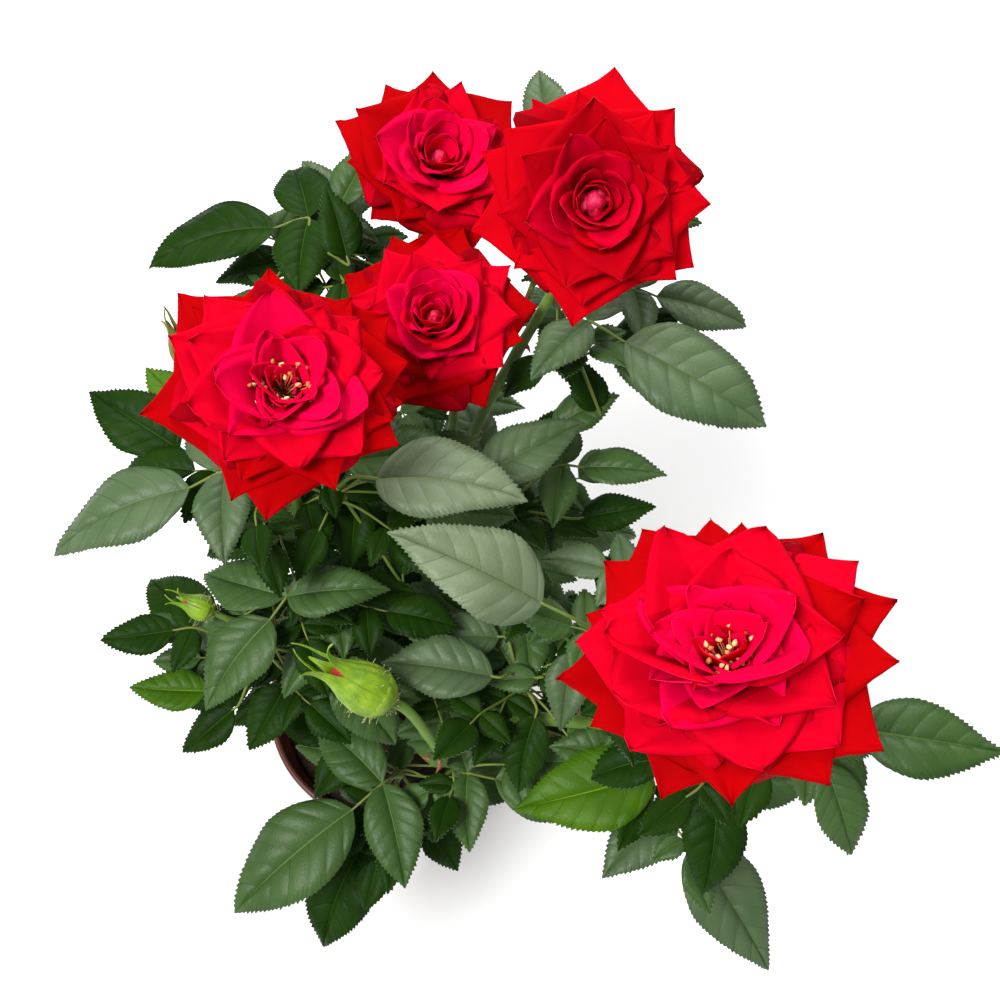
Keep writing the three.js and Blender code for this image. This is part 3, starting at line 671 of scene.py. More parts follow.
def fill_leaves(hub, seed, count, rule, taken):
    """Leaves that spring from a hub by a rule, clear of blooms and of the leaves there are."""
    draw = seeded(seed)
    hub, tints = np.array(hub, float), rule["tints"]
    kept = []
    for i in range(3 * count):
        if len(kept) == count:
            break
        bearing = i * GOLDEN_ANGLE + draw(0, 1.2)
        rise = math.radians(draw(*rule["rise"]))
        level = math.cos(rise)
        way = np.array([math.cos(bearing) * level, math.sin(bearing) * level, math.sin(rise)])
        joint = hub + way * draw(*rule["reach"])
        length = draw(*rule["length"])
        sides = [draw(66, 88), draw(66, 88)]
        tint = tints[len(kept) % len(tints)]
        grown = Leaf(joint, joint + way * 1.2 * length, tint, sides, set=False)
        heart = heart_of(grown)
        if min(joint[2], grown.tip[2]) < rule["floor"]:
            continue
        if any(np.linalg.norm(b.middle - heart) < rule["blooms"] * b.radius for b in BLOOMS.values()):
            continue
        if any(np.linalg.norm(p - heart) < rule["spacing"] for p in taken):
            continue
        kept.append(grown)
        taken.append(heart)
    return kept


def tree_of(points, faces):
    """A body as it is tried against its neighbours, with its box."""
    points = np.asarray(points)
    return BVHTree.FromPolygons(points.tolist(), faces), points.min(0), points.max(0)


def coarse_tree(blade):
    """A few faces that stand for a leaflet."""
    right = np.cross(blade.along, blade.up)
    half, length = LEAF_WIDTH * blade.length / 2, blade.length
    points = []
    for u, w in [(0.04, 0.1), (0.3, 0.9), (0.65, 0.8), (0.97, 0.1)]:
        arch = 4 * u * (1 - u) * LEAF_ARCH * length
        centre = blade.base + blade.along * u * length + blade.up * arch
        for s in (-1, 0, 1):
            points.append(centre + right * s * w * half + blade.up * abs(s) * LEAF_FOLD * w * half)
    return tree_of(points, quads(np.arange(12).reshape(4, 3)).tolist())


def touches(entry, others):
    tree, low, high = entry
    return any(
        (low <= other_high).all() and (other_low <= high).all() and tree.overlap(other)
        for other, other_low, other_high in others
    )


def shades(entry, guarded):
    """Whether a leaflet would stand in the light of something that is set by place."""
    tree, low, high = entry
    near = guarded[((guarded > low - SHADE_REACH) & (guarded < high + SHADE_REACH)).all(axis=1)]
    return sum(tree.ray_cast(Vector(p), Vector(SUN), SHADE_REACH)[0] is not None for p in near) > 1


def guarded_spots(blade):
    """Points of a leaflet set by place that stay in the light."""
    spots = [blade.base + blade.along * blade.length * u for u in (0.1, 0.3, 0.5, 0.7, 0.9)]
    side = np.cross(blade.along, blade.up) * 0.18 * blade.length
    return [*spots, spots[1] + side, spots[1] - side, spots[3] + side / 2]


def plan_masses():
    """Every leaf of every mass: those set by place, the frame's filling, and this script's finer ones."""
    planned = {name: [Leaf(*entry) for entry in mass.leaves] for name, mass in MASSES.items()}
    taken = [heart_of(leaf) for group in planned.values() for leaf in group]
    for name, mass in MASSES.items():
        planned[name] += fill_leaves(mass.hub, mass.seed, mass.fill, FILL, taken)
    for name, mass in MASSES.items():
        planned[name] += fill_leaves(mass.hub, mass.finer, FINER["each"], FINER, taken)
    return planned


def grow_masses(limbs, blocked, guarded):
    """The twigs of every mass, and its leaves sorted by tint."""
    twigs = Gathered()
    leaves = {tint: Gathered() for tint in LEAF_TINTS}
    draw = np.random.RandomState(8).uniform
    grown = list(blocked)
    plans = []
    for name, group in plan_masses().items():
        mass = MASSES[name]
        hub = np.array(mass.hub, float)
        start, spur = budding(limbs[mass.limb], mass.at, hub)
        line = smooth_route([start, spur, mix(spur, hub, 0.5), hub], 7)
        swell = 1 + 0.5 * np.exp(-np.arange(len(line)) / 2.5)
        twigs.add(tube(line, np.linspace(1.1, 0.9, len(line)) * swell, 8))
        for i, leaf in enumerate(group):
            plans.append((leaf, mix(spur, hub, mix(0.98, 0.4, i / len(group))), *leaf_plan(leaf)))
    plans.sort(key=lambda plan: not plan[0].set)
    spots = [guarded_spots(blade) for leaf, *_, blades in plans if leaf.set for blade in blades]
    guarded = np.concatenate([guarded, *spots])
    for leaf, foot, joint, along, gap, blades in plans:
        kept = []
        for blade in blades:
            entry = coarse_tree(blade)
            if leaf.set or not (touches(entry, grown) or shades(entry, guarded)):
                kept.append(blade)
                grown.append(entry)
        if not kept or kept[0] is not blades[0]:
            continue
        sag = foot * 0.5 + joint * 0.5 + UP * draw(-2, 4)
        line = smooth_route([foot, sag, joint, joint + along * (gap + 1)], 6)
        thick = STALK_RADIUS["set" if leaf.set else "filling"]
        profile = np.interp(np.linspace(0, 1, len(line)), [0, 0.1, 0.6, 1], [1.5, 1, 0.85, 0.6]) * thick
        twigs.add(tube(line, profile, 7), 1)
        for blade in kept:
            grid, share = leaflet_grid(blade, draw)
            body = leaflet_shell(grid)
            leaves[leaf.tint].add(body, leaflet_slots(len(body[1]), share, grid.shape[1] - 1))
    return twigs, leaves


# ---- Blooms ----
PETALS = 38
MORE_WHEN_OPEN = 8
PETAL_ROWS = 19
PETAL_COLUMNS = 21
BUTTON_PETALS = 5
FEWEST_STAMENS = 20
MORE_STAMENS = 60
SHOULDER = 0.45
# How petals change from the outermost to the innermost: the angles from the axis at which they leave the hip
# and end, in degrees, the further bend of their tips, their length as a share of the bloom's radius, and
# their width as a share of their length. They differ in a fresh bloom, in a spent one, and in one whose
# petals arch over, so that its rings lie like terraces.
RANKS = [0, 0.3, 0.55, 0.75, 0.9, 1]
FRESH = {
    "start": [62, 50, 39, 29, 21, 15], "finish": [112, 88, 56, 24, 9, 1], "tip": [-16, 0, 12, 6, 0, 0],
    "length": [1.14, 1.0, 0.84, 0.66, 0.53, 0.45], "width": [1.36, 1.22, 1.1, 1.1, 1.15, 1.1],
}
SPENT = {
    "start": [66, 56, 46, 35, 24, 14], "finish": [108, 93, 74, 54, 36, 20], "tip": [-15, 2, 14, 12, 6, 0],
    "length": [1.07, 0.98, 0.84, 0.67, 0.52, 0.4], "width": [1.3, 1.2, 1.08, 0.9, 0.66, 0.5],
}
DOMED = {
    "start": [64, 52, 41, 32, 24, 16], "finish": [112, 97, 80, 62, 42, 22], "tip": [-16, 0, 14, 16, 8, 0],
    "length": [1.1, 0.94, 0.76, 0.6, 0.48, 0.4], "width": [1.2, 1.0, 0.84, 0.72, 0.6, 0.5],
}
# The reds of the rings, from the outermost, then of backs, painted darker as shade, of thin edges, painted
# lighter as a highlight, and of lower parts and feet, painted darker partly as the shade that the petals
# above cast and partly as the petals' own darker base.
RED_TINTS = {
    "fresh": {
        "outer": (196, 0, 18), "middle": (180, 0, 18), "inner": (196, 0, 38), "shaded_back": (172, 0, 12),
        "edge": (224, 40, 70), "low": (166, 0, 16), "deep_shade": (134, 0, 12),
    },
    "open": {
        "outer": (170, 0, 5), "middle": (206, 0, 34), "inner": (226, 0, 66), "shaded_back": (160, 0, 6),
        "edge": (226, 20, 66), "low": (184, 0, 26), "deep_shade": (142, 0, 16),
    },
}
# Their slots in that order, after the three rings.
# Backs, lower parts and feet carry painted shade, and thin edges a painted highlight.
SHADED_BACK, HIGHLIT_EDGE, SHADED_LOW, SHADED_DEEP = 3, 4, 5, 6


def petal_plan(share, bloom):
    plan = {}
    for key in FRESH:
        fresh, spent, domed = (np.interp(share, RANKS, ranks[key]) for ranks in (FRESH, SPENT, DOMED))
        plan[key] = mix(mix(fresh, spent, bloom.open), domed, bloom.dome)
    return plan


def bent_line(angle, length):
    """How far out and up a line of some length has come at each of its steps, from its angles to the axis."""
    out, up = (np.concatenate([[0], np.cumsum(way(angle[:-1]))]) for way in (np.sin, np.cos))
    return out * length / (len(angle) - 1), up * length / (len(angle) - 1)


def petal_line(plan, length, lean, steps=60):
    """A petal's middle line from the hip: distance from the axis, height, and angle."""
    t = np.linspace(0, 1, steps + 1)
    angle = mix(plan["start"] + 0.5 * lean, plan["finish"] + lean, np.clip(t / 0.8, 0, 1) ** 1.3)
    angle = np.radians(angle + plan["tip"] * ease(0.7, 1, t))
    r, z = bent_line(angle, length)
    return t, np.maximum(HIP_RADIUS + r, 1.2), z, angle


def petal_outline(v, blunt):
    """Half of a petal's width along its length: it widens to a shoulder, then narrows to its tip."""
    t = np.clip((v - SHOULDER) / (1 - SHOULDER), 0, 1)
    rise = np.sin(math.pi / 2 * np.clip(v / SHOULDER, 0, 1))
    pointed = (1 - t) ** 1.4 * (1 + 1.1 * t)
    round_tip = np.sqrt(np.clip(1 - t**2.6, 0, 1))
    return (0.16 + 0.84 * rise) * mix(pointed, round_tip, blunt)


def petal_count(bloom):
    return PETALS + int(MORE_WHEN_OPEN * (bloom.open + 2 * bloom.dome))


def petal_height(x, w, v, s, share, length, wild, ruffle, draw):
    """How high a cupped petal's points lie, with its waves, creases, keel, fold and twist."""
    ruffle = mix(0.01, 0.034, ease(0.25, 0.5, share)) * ruffle
    depth = draw(0.3, 1) * ruffle * length
    wave = depth * np.sin(draw(2.4, 4.5) * s + draw(*ANY_ANGLE)) * v**3
    depth = mix(0.004, 0.008, ease(0.2, 0.5, share)) * length
    crease = depth * np.sin(draw(6, 9) * s + draw(*ANY_ANGLE))
    crease = crease * ease(0.3, 0.8, v) * (1 - np.abs(s))
    keel = mix(0.014, 0.034, ease(0.15, 0.4, share)) * length * np.exp(-((s / 0.3) ** 2))
    keel = keel * ease(0.4, 0.9, v) * (1 - share) * draw(-1, 0.3)
    fold = wild * draw(0.1, 0.9) * np.abs(x) * ease(0.1, 0.5, v)
    twist = math.radians(draw(-3, 3) + wild * draw(-25, 25)) * x * v
    return w + wave + crease + keel + fold + twist


def petal_grid(index, bloom, draw):
    """A petal's inner face, cupped round the axis, with its sides rolled under."""
    share, openness = index / (petal_count(bloom) - 1), bloom.open
    plan = petal_plan(share, bloom)
    wild = openness * ease(bloom.wild, bloom.wild + 0.2, share)
    azimuth = math.radians(bloom.turn) + index * GOLDEN_ANGLE + draw(-0.24, 0.24) * (1 + wild)
    loose = mix(mix(0.7, 2.6, ease(0.25, 0.5, share)), 12, wild)
    # A bloom is a little wider on two sides. The turn only shifts where they are.
    lean = 2.5 * math.sin(2 * azimuth + bloom.turn) * (1 - share) + draw(-loose, loose)
    length = bloom.radius * bloom.spread * plan["length"] * draw(0.88 - 0.05 * wild, 1.05)
    t, r, z, angle = petal_line(plan, length, lean)
    v = np.linspace(0, 1, PETAL_ROWS)[:, None] ** 0.85
    s = np.linspace(-1, 1, PETAL_COLUMNS)[None, :]
    a = np.abs(s)
    radius_here = np.interp(v, t, r)
    softer = mix(0.7, 0.35, bloom.dome) * ease(0.2, 0.6, share) * draw(0, 1)
    blunt = mix(ease(0.5, 0.8, share), softer, openness)
    half = petal_outline(v, blunt) * length * plan["width"] / 2 * draw(0.8, 1.2)
    half = np.minimum(half, mix(1.45, 2.2, ease(0.8, 0.3, share)) * radius_here)
    beyond = np.clip((v - SHOULDER) / (1 - SHOULDER), 0, 1)
    slant = draw(-1, 1) * (0.14 + 0.2 * wild) * length * beyond**1.5
    tilt = np.interp(v, t, angle)
    cup = np.minimum(half / radius_here, 1.5) * np.maximum(np.cos(tilt), 0.08)
    cup = cup + draw(-0.05, 0.4) * openness * ease(0.12, 0.35, share) * ease(0.3, 0.6, v)
    begin = mix(1.0, mix(0.6, 0.8, share), ease(0.25, 0.6, v))
    roll = math.radians(mix(155, 64, ease(0.05, 0.6, share))) * draw(0.75, 1.15)
    roll = roll * ease(0.25, 0.7, v) * (1 - ease(0.86, 0.97, v))
    past = np.clip((a - begin) / np.maximum(1 - begin, 1e-3), 0, 1)
    bend = np.sign(s) * (cup * np.minimum(a, begin) - (cup + roll) * past**0.9)
    step, middle = 2 / (PETAL_COLUMNS - 1), PETAL_COLUMNS // 2
    x = np.cumsum(np.cos(bend), axis=1) * step
    w = np.cumsum(np.sin(bend), axis=1) * step
    x = (x - x[:, middle : middle + 1]) * half + slant
    w = (w - w[:, middle : middle + 1]) * half
    height = petal_height(x, w, v, s, share, length, wild, bloom.ruffle, draw)
    out, lateral = level_axes(azimuth)
    along = np.sin(tilt)[..., None] * out + np.cos(tilt)[..., None] * UP
    up = np.cross(along, lateral)
    place = radius_here[..., None] * out + (HIP - 1 + np.interp(v, t, z))[..., None] * UP
    return place - x[..., None] * lateral + height[..., None] * up


def petal_slots(count, share, ring):
    """Slots of a petal's faces: its ring's red, painted darker towards its foot partly as the shade of the
    petals above and partly as its own darker base, with its back painted darker as shade and its thin edge
    painted lighter as a highlight.
    """
    spans = PETAL_COLUMNS - 1
    upper = (PETAL_ROWS - 1) * spans
    # The lower side takes the back's red, painted darker as shade.
    slots = np.full(count, SHADED_BACK)
    along = (np.arange(PETAL_ROWS - 1).repeat(spans) + 0.5) / (PETAL_ROWS - 1)
    low, deep_shade = mix(0.5, 0.34, share), mix(0.38, 0.2, share)
    # Rows near the foot are painted darker, partly as the shade of the petals above and partly as the petal's
    # own darker base.
    slots[:upper] = np.where(along < deep_shade, SHADED_DEEP, np.where(along < low, SHADED_LOW, ring))
    # The thin edge of all but the outer petals is painted lighter as a highlight.
    slots[2 * upper :] = HIGHLIT_EDGE if share > 0.3 else SHADED_BACK
    return slots


def add_petals(gathered, bloom, place, draw):
    count = petal_count(bloom)
    thin = PETAL_THICK * mix(1, 0.3, ease(0.8, 1, np.linspace(0, 1, PETAL_ROWS)))[:, None, None]
    for index in range(count):
        body = shell(petal_grid(index, bloom, draw), thin)
        ring = int(np.clip(3.2 * index / count + draw(-0.35, 0.35), 0, 2))
        gathered.add(body, petal_slots(len(body[1]), index / count, ring), place)


def add_stamens(gathered, bloom, place, draw):
    """Filaments that spread from the hip, each with an anther of one of two colours."""
    count = int(FEWEST_STAMENS + MORE_STAMENS * bloom.open)
    for i in range(count):
        spread = math.sqrt((i + 1) / count)
        out, _ = level_axes(i * GOLDEN_ANGLE)
        foot = out * 1.6 * spread + UP * (HIP - 0.5)
        tip = foot + unit(out * spread * 0.9 + UP + draw(-0.5, 0.5, 3)) * draw(6.5, 11.5)
        gathered.add(tube(place(smooth_route([foot, mix(foot, tip, 0.5), tip], 2)), [0.12] * 5, 4))
        tilt = unit(draw(-1, 1, 3) + 0.3 * UP)
        anther = [tip - tilt * 0.85, tip - tilt * 0.4, tip + tilt * 0.35, tip + tilt * 0.85]
        girth = np.array([[0.18], [0.58], [0.64], [0.14]]) * draw(0.6, 1.2, (4, 5))
        gathered.add(tube(place(np.array(anther)), girth, 5), 1 + i % 2)


def add_button(gathered, height, girth, place, draw):
    """The tight ruffled heart of a young bloom: a few small petals folded round a closed core."""
    foot = HIP - 1
    girths = np.array([0.8, 1.5, 2.0, 1.9, 1.2]) * girth
    heights = foot + height * np.array([0.05, 0.3, 0.6, 0.82, 0.95])
    points, faces = lathe([(0, foot), *zip(girths, heights), (0, foot + height)], 24)
    around = np.arctan2(points[:, 1], points[:, 0])
    lobes = 0.16 * np.sin(3 * around + 0.9 * points[:, 2]) + 0.07 * np.sin(7 * around - 1.7 * points[:, 2])
    points[:, :2] *= (1 + lobes)[:, None]
    gathered.add((points, faces), place=place)
    u = np.linspace(0, 1, 11)[:, None]
    s = np.linspace(-1, 1, 13)[None, :]
    for k in range(BUTTON_PETALS):
        bulge = girth * (1.6 + 0.55 * k) * np.sin(math.pi * np.clip(0.08 + 0.84 * u, 0, 1)) ** 0.7
        turn = s * (1.1 - 0.1 * k) + 0.15 * np.sin(9 * u)
        r = bulge * (1 + 0.14 * np.sin(4 * s + k) + 0.05 * np.sin(9 * s + 2 * k))
        rise = height * (1 - 0.06 * k) * (u - 0.07 * s**2 * u) + draw(-0.4, 0.4)
        grid = grid_about(k * GOLDEN_ANGLE, r * np.cos(turn), r * np.sin(turn), foot + rise)
        gathered.add(shell(grid, 0.3), place=place)


def sepal_grid(azimuth, length, foot, rows=13, columns=7):
    """A sepal leaves the top of its hip and bends back below the bloom."""
    out, lateral = level_axes(azimuth)
    v = np.linspace(0, 1, rows)
    angle = np.radians(np.interp(v, np.linspace(0, 1, 4), [70, 100, 130, 150]))
    r, z = bent_line(angle, length)
    half = 0.13 * length * np.interp(v, [0, 0.25, 0.6, 0.85, 1], [0.75, 1, 0.45, 0.16, 0.05])
    s = np.linspace(-1, 1, columns)
    along = np.sin(angle)[:, None] * out + np.cos(angle)[:, None] * UP
    up = np.cross(along, lateral)
    middle = (HIP_RADIUS + r)[:, None] * out + (foot + z)[:, None] * UP
    side = half[:, None] * s[None, :]
    lift = 0.25 * half[:, None] * s[None, :] ** 2
    return middle[:, None] - side[..., None] * lateral + lift[..., None] * up[:, None]


def add_calyx(gathered, bloom, place):
    """A bloom's hip with its sepals."""
    widths = [(1.7, 0), (HIP_RADIUS, 1.4), (3.4, 0.4 * HIP), (3.7, 0.6 * HIP), (3.2, 0.85 * HIP)]
    gathered.add(lathe([(0, 0), *widths, (0, 0.85 * HIP)], 20), place=place)
    for k in range(SEPALS):
        grid = sepal_grid(k / SEPALS * math.tau + 0.3, 0.62 * bloom.radius, 0.8 * HIP)
        gathered.add(shell(grid, SEPAL_THICK), place=place)


def red_materials(name, tints):
    """One velvety red for each ring of petals, and for backs painted darker as shade, thin edges painted
    lighter as a highlight, and lower parts and feet painted darker partly as the shade of the petals above.
    """
    made = []
    for ring, (red, green, blue) in tints.items():
        tones = (tone(red - 12, green, blue * 0.8), tone(red + 6, green, blue))
        made.append(material(f"petal_{name}_{ring}", tones, 0.75, 90, 0.1, 2200, Specular_IOR_Level=0.02))
    return made


def make_blooms():
    green, yellow, core = Gathered(), Gathered(), Gathered()
    reds = {name: red_materials(name, tints) for name, tints in RED_TINTS.items()}
    for number, (name, bloom) in enumerate(BLOOMS.items()):
        draw = np.random.RandomState(60 + number).uniform
        seat, facing, _ = seat_of(name)
        place = facing_frame(seat, facing)
        petals = Gathered()
        add_petals(petals, bloom, place, draw)
        piece(name.replace("bloom", "petals"), petals, reds[bloom.tint], [name])
        add_calyx(green, bloom, place)
        if bloom.button:
            add_button(core, 0.36 * bloom.radius, bloom.button, place, draw)
        else:
            add_stamens(yellow, bloom, place, draw)
    leafy = material("sepal", (tone(70, 104, 30), tone(104, 136, 48)), 0.55, grain=120, bump=0.2)
    piece("calyces", green, [leafy])
    filament = material("filament", (tone(226, 120, 84), tone(242, 180, 130)), 0.6, grain=300)
    anther = material("anther", (tone(240, 190, 120), tone(250, 226, 170)), 0.7, grain=400)
    dry = material("anther_dry", (tone(176, 110, 50), tone(206, 150, 80)), 0.8, grain=400)
    piece("stamens", yellow, [filament, anther, dry])
    heart = material("heart", (tone(206, 4, 60), tone(232, 30, 96)), 0.6, 200, 0.2, 1500)
    piece("hearts", core, [heart])


# ---- Buds ----
BUD_SIDES = 40
# Hairs for each millimetre of a bud's radius.
HAIRS_PER_RADIUS = 20
# How a bud swells: its girth as a share of its radius, up its length.
BUD_HEIGHTS = np.linspace(0, 1, 20)
SWELL_HEIGHTS = [0, 0.06, 0.16, 0.34, 0.5, 0.7, 0.88, 1]
BUD_SWELL = np.interp(BUD_HEIGHTS, SWELL_HEIGHTS, [0.28, 0.52, 0.84, 1, 0.99, 0.84, 0.54, 0.08])
# How the free tail of each sepal bends from the bud's axis, in degrees.
CURLS = [(-20, 0, 40, 90), (-22, -10, 0, -20), (-18, 4, 34, 80), (-22, -14, -6, -30), (-20, 0, 24, 60)]


def bud_sepal_grid(k, radius, length):
    """A ridged sepal that clasps its bud, with a narrow tail that bends free of it."""
    v = np.linspace(0, 1, 26)
    share = 0.14 + 0.66 * np.clip(v / 0.5, 0, 1)
    free = np.clip((v - 0.5) / 0.5, 0, 1)
    bend = np.radians(np.interp(free, np.linspace(0, 1, 4), CURLS[k]))
    tail = 0.058 * length * (1 + 0.3 * math.sin(2.3 * k))
    r = np.interp(share, BUD_HEIGHTS, BUD_SWELL) * radius + 0.25 + np.cumsum(np.sin(bend) * (free > 0)) * tail
    z = share * length + np.cumsum(np.cos(bend) * (free > 0)) * tail
    half = radius * np.interp(v, [0, 0.2, 0.4, 0.52, 0.62, 0.8, 1], [0.7, 0.68, 0.56, 0.44, 0.26, 0.12, 0.03])
    s = np.linspace(-1, 1, 17)
    around = half[:, None] * s[None, :] / np.maximum(r[:, None], 0.5) * (1 - free)[:, None]
    flat = half[:, None] * s[None, :] * free[:, None]
    middle_ridge = np.exp(-((s / 0.16) ** 2))
    ridge = 0.05 * radius * (middle_ridge + 0.6 * np.exp(-(((np.abs(s) - 0.62) / 0.14) ** 2)))
    lifted = r[:, None] + ridge * ease(0, 0.1, v)[:, None] * (1 - free)[:, None]
    outward, sideways = lifted * np.cos(around), lifted * np.sin(around) + flat
    return grid_about(k / SEPALS * math.tau, outward, sideways, z[:, None])[:, ::-1]


def add_bud(green, red, bud, place):
    radius, length = bud.radius, bud.length
    rings = [(radius * 0.93 * w, length * h) for h, w in zip(BUD_HEIGHTS, BUD_SWELL)]
    red.add(lathe([(0, 0), *rings, (0, length)], BUD_SIDES), place=place)
    cup = [
        (0, -0.2), (0.3 * radius, -0.2), (0.72 * radius, 0.08 * length), (0.97 * radius, 0.22 * length),
        (1.02 * radius, 0.3 * length), (0.9 * radius, 0.31 * length), (0, 0.3 * length),
    ]
    green.add(lathe(cup, BUD_SIDES), place=place)
    for k in range(SEPALS):
        green.add(shell(bud_sepal_grid(k, radius, length), SEPAL_THICK), place=place)


def add_hairs(gathered, bud, place, draw):
    radius, length = bud.radius, bud.length
    for _ in range(int(HAIRS_PER_RADIUS * radius)):
        azimuth, height = draw(*ANY_ANGLE), draw(-0.12, 0.7)
        r = radius * np.interp(height, BUD_HEIGHTS, BUD_SWELL) if height > 0 else 0.24 * radius
        out, _ = level_axes(azimuth)
        foot = out * r + UP * height * length
        tip = foot + (out + draw(-0.4, 0.4, 3)) * draw(1, 2.1)
        gathered.add(tube(place([foot, mix(foot, tip, 0.6), tip]), [0.08, 0.05, 0.1], 4))


def make_buds():
    closed, late, red, hairs = Gathered(), Gathered(), Gathered(), Gathered()
    draw = np.random.RandomState(31).uniform
    hub, foot = np.array(MASSES[LATE_BUD_MASS].hub, float), np.array(LATE_BUD.foot, float)
    under = foot - 8 * unit(LATE_BUD.facing)
    stalk = smooth_route([hub, mix(hub, under, 0.5) - [3, 0, 0], under, foot], 8)
    late.add(tube(stalk, np.linspace(0.8, 0.7, len(stalk)), 8))
    for bud in [*BUDS.values(), LATE_BUD]:
        place = facing_frame(np.array(bud.foot, float), unit(bud.facing))
        add_bud(late if bud is LATE_BUD else closed, red, bud, place)
        add_hairs(hairs, bud, place, draw)
    leafy = material("bud_green", (tone(96, 138, 4), tone(142, 176, 20)), 0.5, grain=240, fine=900, bump=0.5)
    piece("buds", closed, [leafy], BUDS)
    olive = material("olive", (tone(96, 104, 20), tone(128, 112, 34)), 0.55, grain=150)
    piece("late_bud", late, [olive])
    crimson = material("bud_red", (tone(190, 0, 30), tone(220, 10, 60)), 0.6, grain=200)
    piece("bud_petals", red, [crimson])
    hair = material("hair", (tone(170, 190, 120), tone(200, 180, 140)), 0.5, grain=300)
    piece("bud_hairs", hairs, [hair])


# ---- Pot and soil ----
POT_SEGMENTS = 120
CRUMBS = 420


def pot_profile():
    """Up the outside of the wall, with its two faint rings, over the rolled rim, and down the inside."""
    height, rim, base, wall = POT["height"], POT["rim"], POT["base"], POT["wall"]
    lip_foot = height - POT["lip"]
    profile = [(0, 0.9), (base - 9, 0.9), (base - 8, 0), (base - 1, 0), (base, 0.8)]
    for share in np.linspace(0.04, 1, 24):
        ring = 0.35 * math.exp(-(((share - 0.88) / 0.02) ** 2))
        ring = ring + 0.3 * math.exp(-(((share - 0.12) / 0.02) ** 2))
        profile.append((mix(base, WALL_TOP, share) + ring, lip_foot * share))
    profile += [(WALL_TOP + 0.2, lip_foot + 0.1), (rim - 1, lip_foot + 0.2)]
    profile += [(rim - 0.55, lip_foot + 0.9), (rim - 0.3, height - 5)]
    turn = np.linspace(-0.5 * math.pi, math.pi, 10)
    profile += [(rim - 1.3 + 1.3 * math.cos(a), height - 1.3 + 1.3 * math.sin(a)) for a in turn]
    inner = rim - POT["step"]
    profile += [(inner, height - 2.2), (inner - 0.4, lip_foot + 1), (WALL_TOP - wall, lip_foot - 1)]
    profile += [(mix(base, WALL_TOP, t) - wall, lip_foot * t) for t in np.linspace(0.95, 0.06, 8)]
    return [*profile, (base - wall - 1, POT["floor"]), (0, POT["floor"])]


def make_pot():
    gathered = Gathered()
    gathered.add(lathe(pot_profile(), POT_SEGMENTS))
    tones = (tone(72, 32, 24), tone(94, 46, 34))
    plastic = material("pot_plastic", tones, 0.42, grain=30, fine=1500, bump=0.08)
    pot = piece("pot_shell", gathered, [plastic], ["pot"])
    cutters = Gathered()
    for k in range(DRAIN["count"]):
        centre = level_axes(k / DRAIN["count"] * math.tau)[0] * DRAIN["ring"]
        cutters.add(tube([centre - UP * 3, centre + UP * 6], [DRAIN["radius"]] * 2, 20))
    cutter = bpy.data.objects.new("cutter", cutters.mesh("cutter"))
    bpy.context.scene.collection.objects.link(cutter)
    cut = pot.modifiers.new("drain", "BOOLEAN")
    cut.object, cut.operation, cut.solver = cutter, "DIFFERENCE", "EXACT"
    evaluated = pot.evaluated_get(bpy.context.evaluated_depsgraph_get())
    drained = bpy.data.meshes.new_from_object(evaluated)
    pot.modifiers.clear()
    pot.data = drained
    bpy.data.objects.remove(cutter)


def make_soil():
    """Peat with an uneven top and loose crumbs on it."""
    draw = np.random.RandomState(17).uniform
    foot = POT["base"] - POT["wall"] - SOIL_GAP
    edge = WALL_TOP - POT["wall"] - SOIL_GAP
    profile = [(0, POT["floor"] + 0.3), (foot, POT["floor"] + 0.3), (edge, SOIL_TOP - 1.5)]
    profile += [(r, SOIL_TOP) for r in np.linspace(1.5, edge - 1, 30)[::-1]] + [(0, SOIL_TOP)]
    points, faces = lathe(profile, 90)
    top = points[:, 2] > SOIL_TOP - 1
    x, y = points[top, 0], points[top, 1]
    bumps = sum(
        np.sin(x * fx + px) * np.sin(y * fy + py) / k
        for k, fx, fy, px, py in [(1, 0.31, 0.27, 1, 2), (1.5, 0.7, 0.62, 3, 1), (2, 1.3, 1.4, 0, 5)]
    )
    points[top, 2] += 0.9 * bumps + draw(-0.35, 0.35, top.sum()) - 0.8
    gathered = Gathered()
    gathered.add((points, faces))
    for _ in range(CRUMBS):
        r, a = (edge - 3) * math.sqrt(draw()), draw(*ANY_ANGLE)
        size = draw(0.5, 1.9)
        centre = np.array([r * math.cos(a), r * math.sin(a), SOIL_TOP + draw(-0.6, 0.8)])
        along = unit(draw(-1, 1, 3))
        route = [centre + along * size * t for t in (-1, -0.3, 0.4, 1)]
        girth = np.array([[0.3], [0.9], [0.8], [0.2]]) * size * draw(0.6, 1.1, (4, 6))
        gathered.add(tube(route, girth, 6))
    peat = material("peat", (tone(30, 20, 14), tone(62, 42, 28)), 0.95, grain=400, fine=900, bump=0.8)
    piece("peat_soil", gathered, [peat], ["soil"])


# ---- Stage ----
CAMERA = np.array([44.1, -139.07, 494.68])
CAMERA_FORWARD = np.array([0, 0.5, -math.sqrt(0.75)])
CAMERA_UP = np.array([0, math.sqrt(0.75), 0.5])
FLOOR_HALF = 4.0
# Lights in metres and watts: name, place, size, power. Each shines at the middle of the plant.
LIGHTS = [("key", (-0.6, -0.5, 1.5), 0.6, 26), ("sky", (0.3, 1.1, 1.4), 1.2, 22)]
LIT_POINT = Vector((0.03, 0.02, 0.2))


def make_camera(scene):
    camera = bpy.data.objects.new("camera", bpy.data.cameras.new("camera"))
    camera.data.lens, camera.data.sensor_width = 36, 36
    camera.data.clip_start, camera.data.clip_end = 0.02, 20
    right = np.cross(CAMERA_FORWARD, CAMERA_UP)
    turn = Matrix((right, CAMERA_UP, -CAMERA_FORWARD)).transposed().to_4x4()
    camera.matrix_world = Matrix.Translation(Vector(CAMERA * MM)) @ turn
    scene.collection.objects.link(camera)
    scene.camera = camera


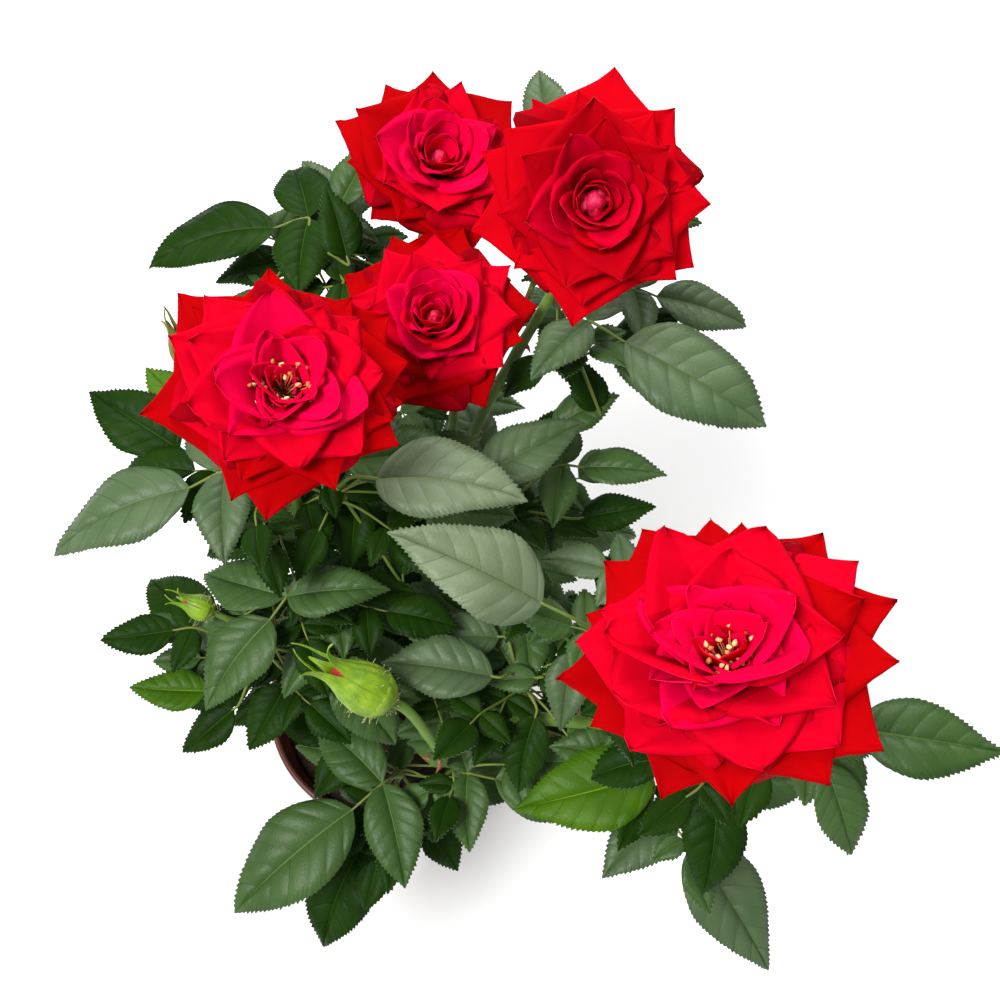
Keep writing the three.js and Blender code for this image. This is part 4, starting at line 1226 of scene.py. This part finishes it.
def make_stage():
    scene = bpy.context.scene
    make_camera(scene)
    mesh = bpy.data.meshes.new("floor")
    corners = [(x * FLOOR_HALF, y * FLOOR_HALF, 0) for x, y in [(-1, -1), (1, -1), (1, 1), (-1, 1)]]
    mesh.from_pydata(corners, [], [(0, 1, 2, 3)])
    pale = material("floor", ((0.93, 0.93, 0.93), (0.94, 0.94, 0.94)), 0.9, grain=2, bump=0.02)
    mesh.materials.append(pale)
    floor = bpy.data.objects.new("floor", mesh)
    scene.collection.objects.link(floor)
    world = bpy.data.worlds.new("studio")
    world.use_nodes = True
    background = world.node_tree.nodes["Background"]
    background.inputs["Color"].default_value = (1, 1, 1, 1)
    background.inputs["Strength"].default_value = 0.42
    scene.world = world
    for name, place, size, power in LIGHTS:
        light = bpy.data.objects.new(name, bpy.data.lights.new(name, "AREA"))
        light.data.size, light.data.energy = size, power
        light.location = place
        light.rotation_mode = "QUATERNION"
        light.rotation_quaternion = (LIT_POINT - Vector(place)).to_track_quat("-Z", "Y")
        scene.collection.objects.link(light)
    scene.view_settings.view_transform = "Standard"


# ---- Assembly ----
def bodies_in_the_way(limbs):
    """Coarse limbs, blooms and buds that leaves keep off, and the points of blooms and buds that stay lit."""
    blocked = [tree_of(*tube(limb["route"][::4], limb["radii"][::4], 5)) for limb in limbs.values()]
    guarded = []
    coarse = {}
    for name, bloom in BLOOMS.items():
        r = bloom.radius
        dome = [(0, 0), (3, 3), (0.9 * r, 0.25 * r), (r, 0.45 * r), (0.75 * r, 0.9 * r), (0, r)]
        coarse[name] = lathe(dome, 14)
    for name, bud in BUDS.items():
        r, length = bud.radius, bud.length
        drop = [(0, -NECK), (0.4 * r, -NECK / 2), (r, 0.3 * length), (2, length), (0, 1.2 * length)]
        coarse[name] = lathe(drop, 7)
    for name, (points, faces) in coarse.items():
        seat, facing, _ = seat_of(name)
        guarded.append(facing_frame(seat, facing)(points))
        blocked.append(tree_of(guarded[-1], faces))
    return blocked, np.concatenate(guarded)


def make_masses(limbs):
    twigs, leaves = grow_masses(limbs, *bodies_in_the_way(limbs))
    twig = material("twig", (tone(84, 108, 34), tone(124, 120, 56)), 0.5, grain=80, bump=0.2)
    stalk = material("stalk", (tone(84, 116, 28), tone(116, 122, 46)), 0.55, grain=60, bump=0.2)
    piece("twigs", twigs, [twig, stalk], MASSES)
    for tint, gathered in leaves.items():
        piece("leaves_" + tint, gathered, leaf_materials(tint, LEAF_TINTS[tint]))


make_stage()
make_pot()
make_soil()
limbs = grow_limbs()
dress_limbs(limbs)
make_blooms()
make_buds()
make_masses(limbs)
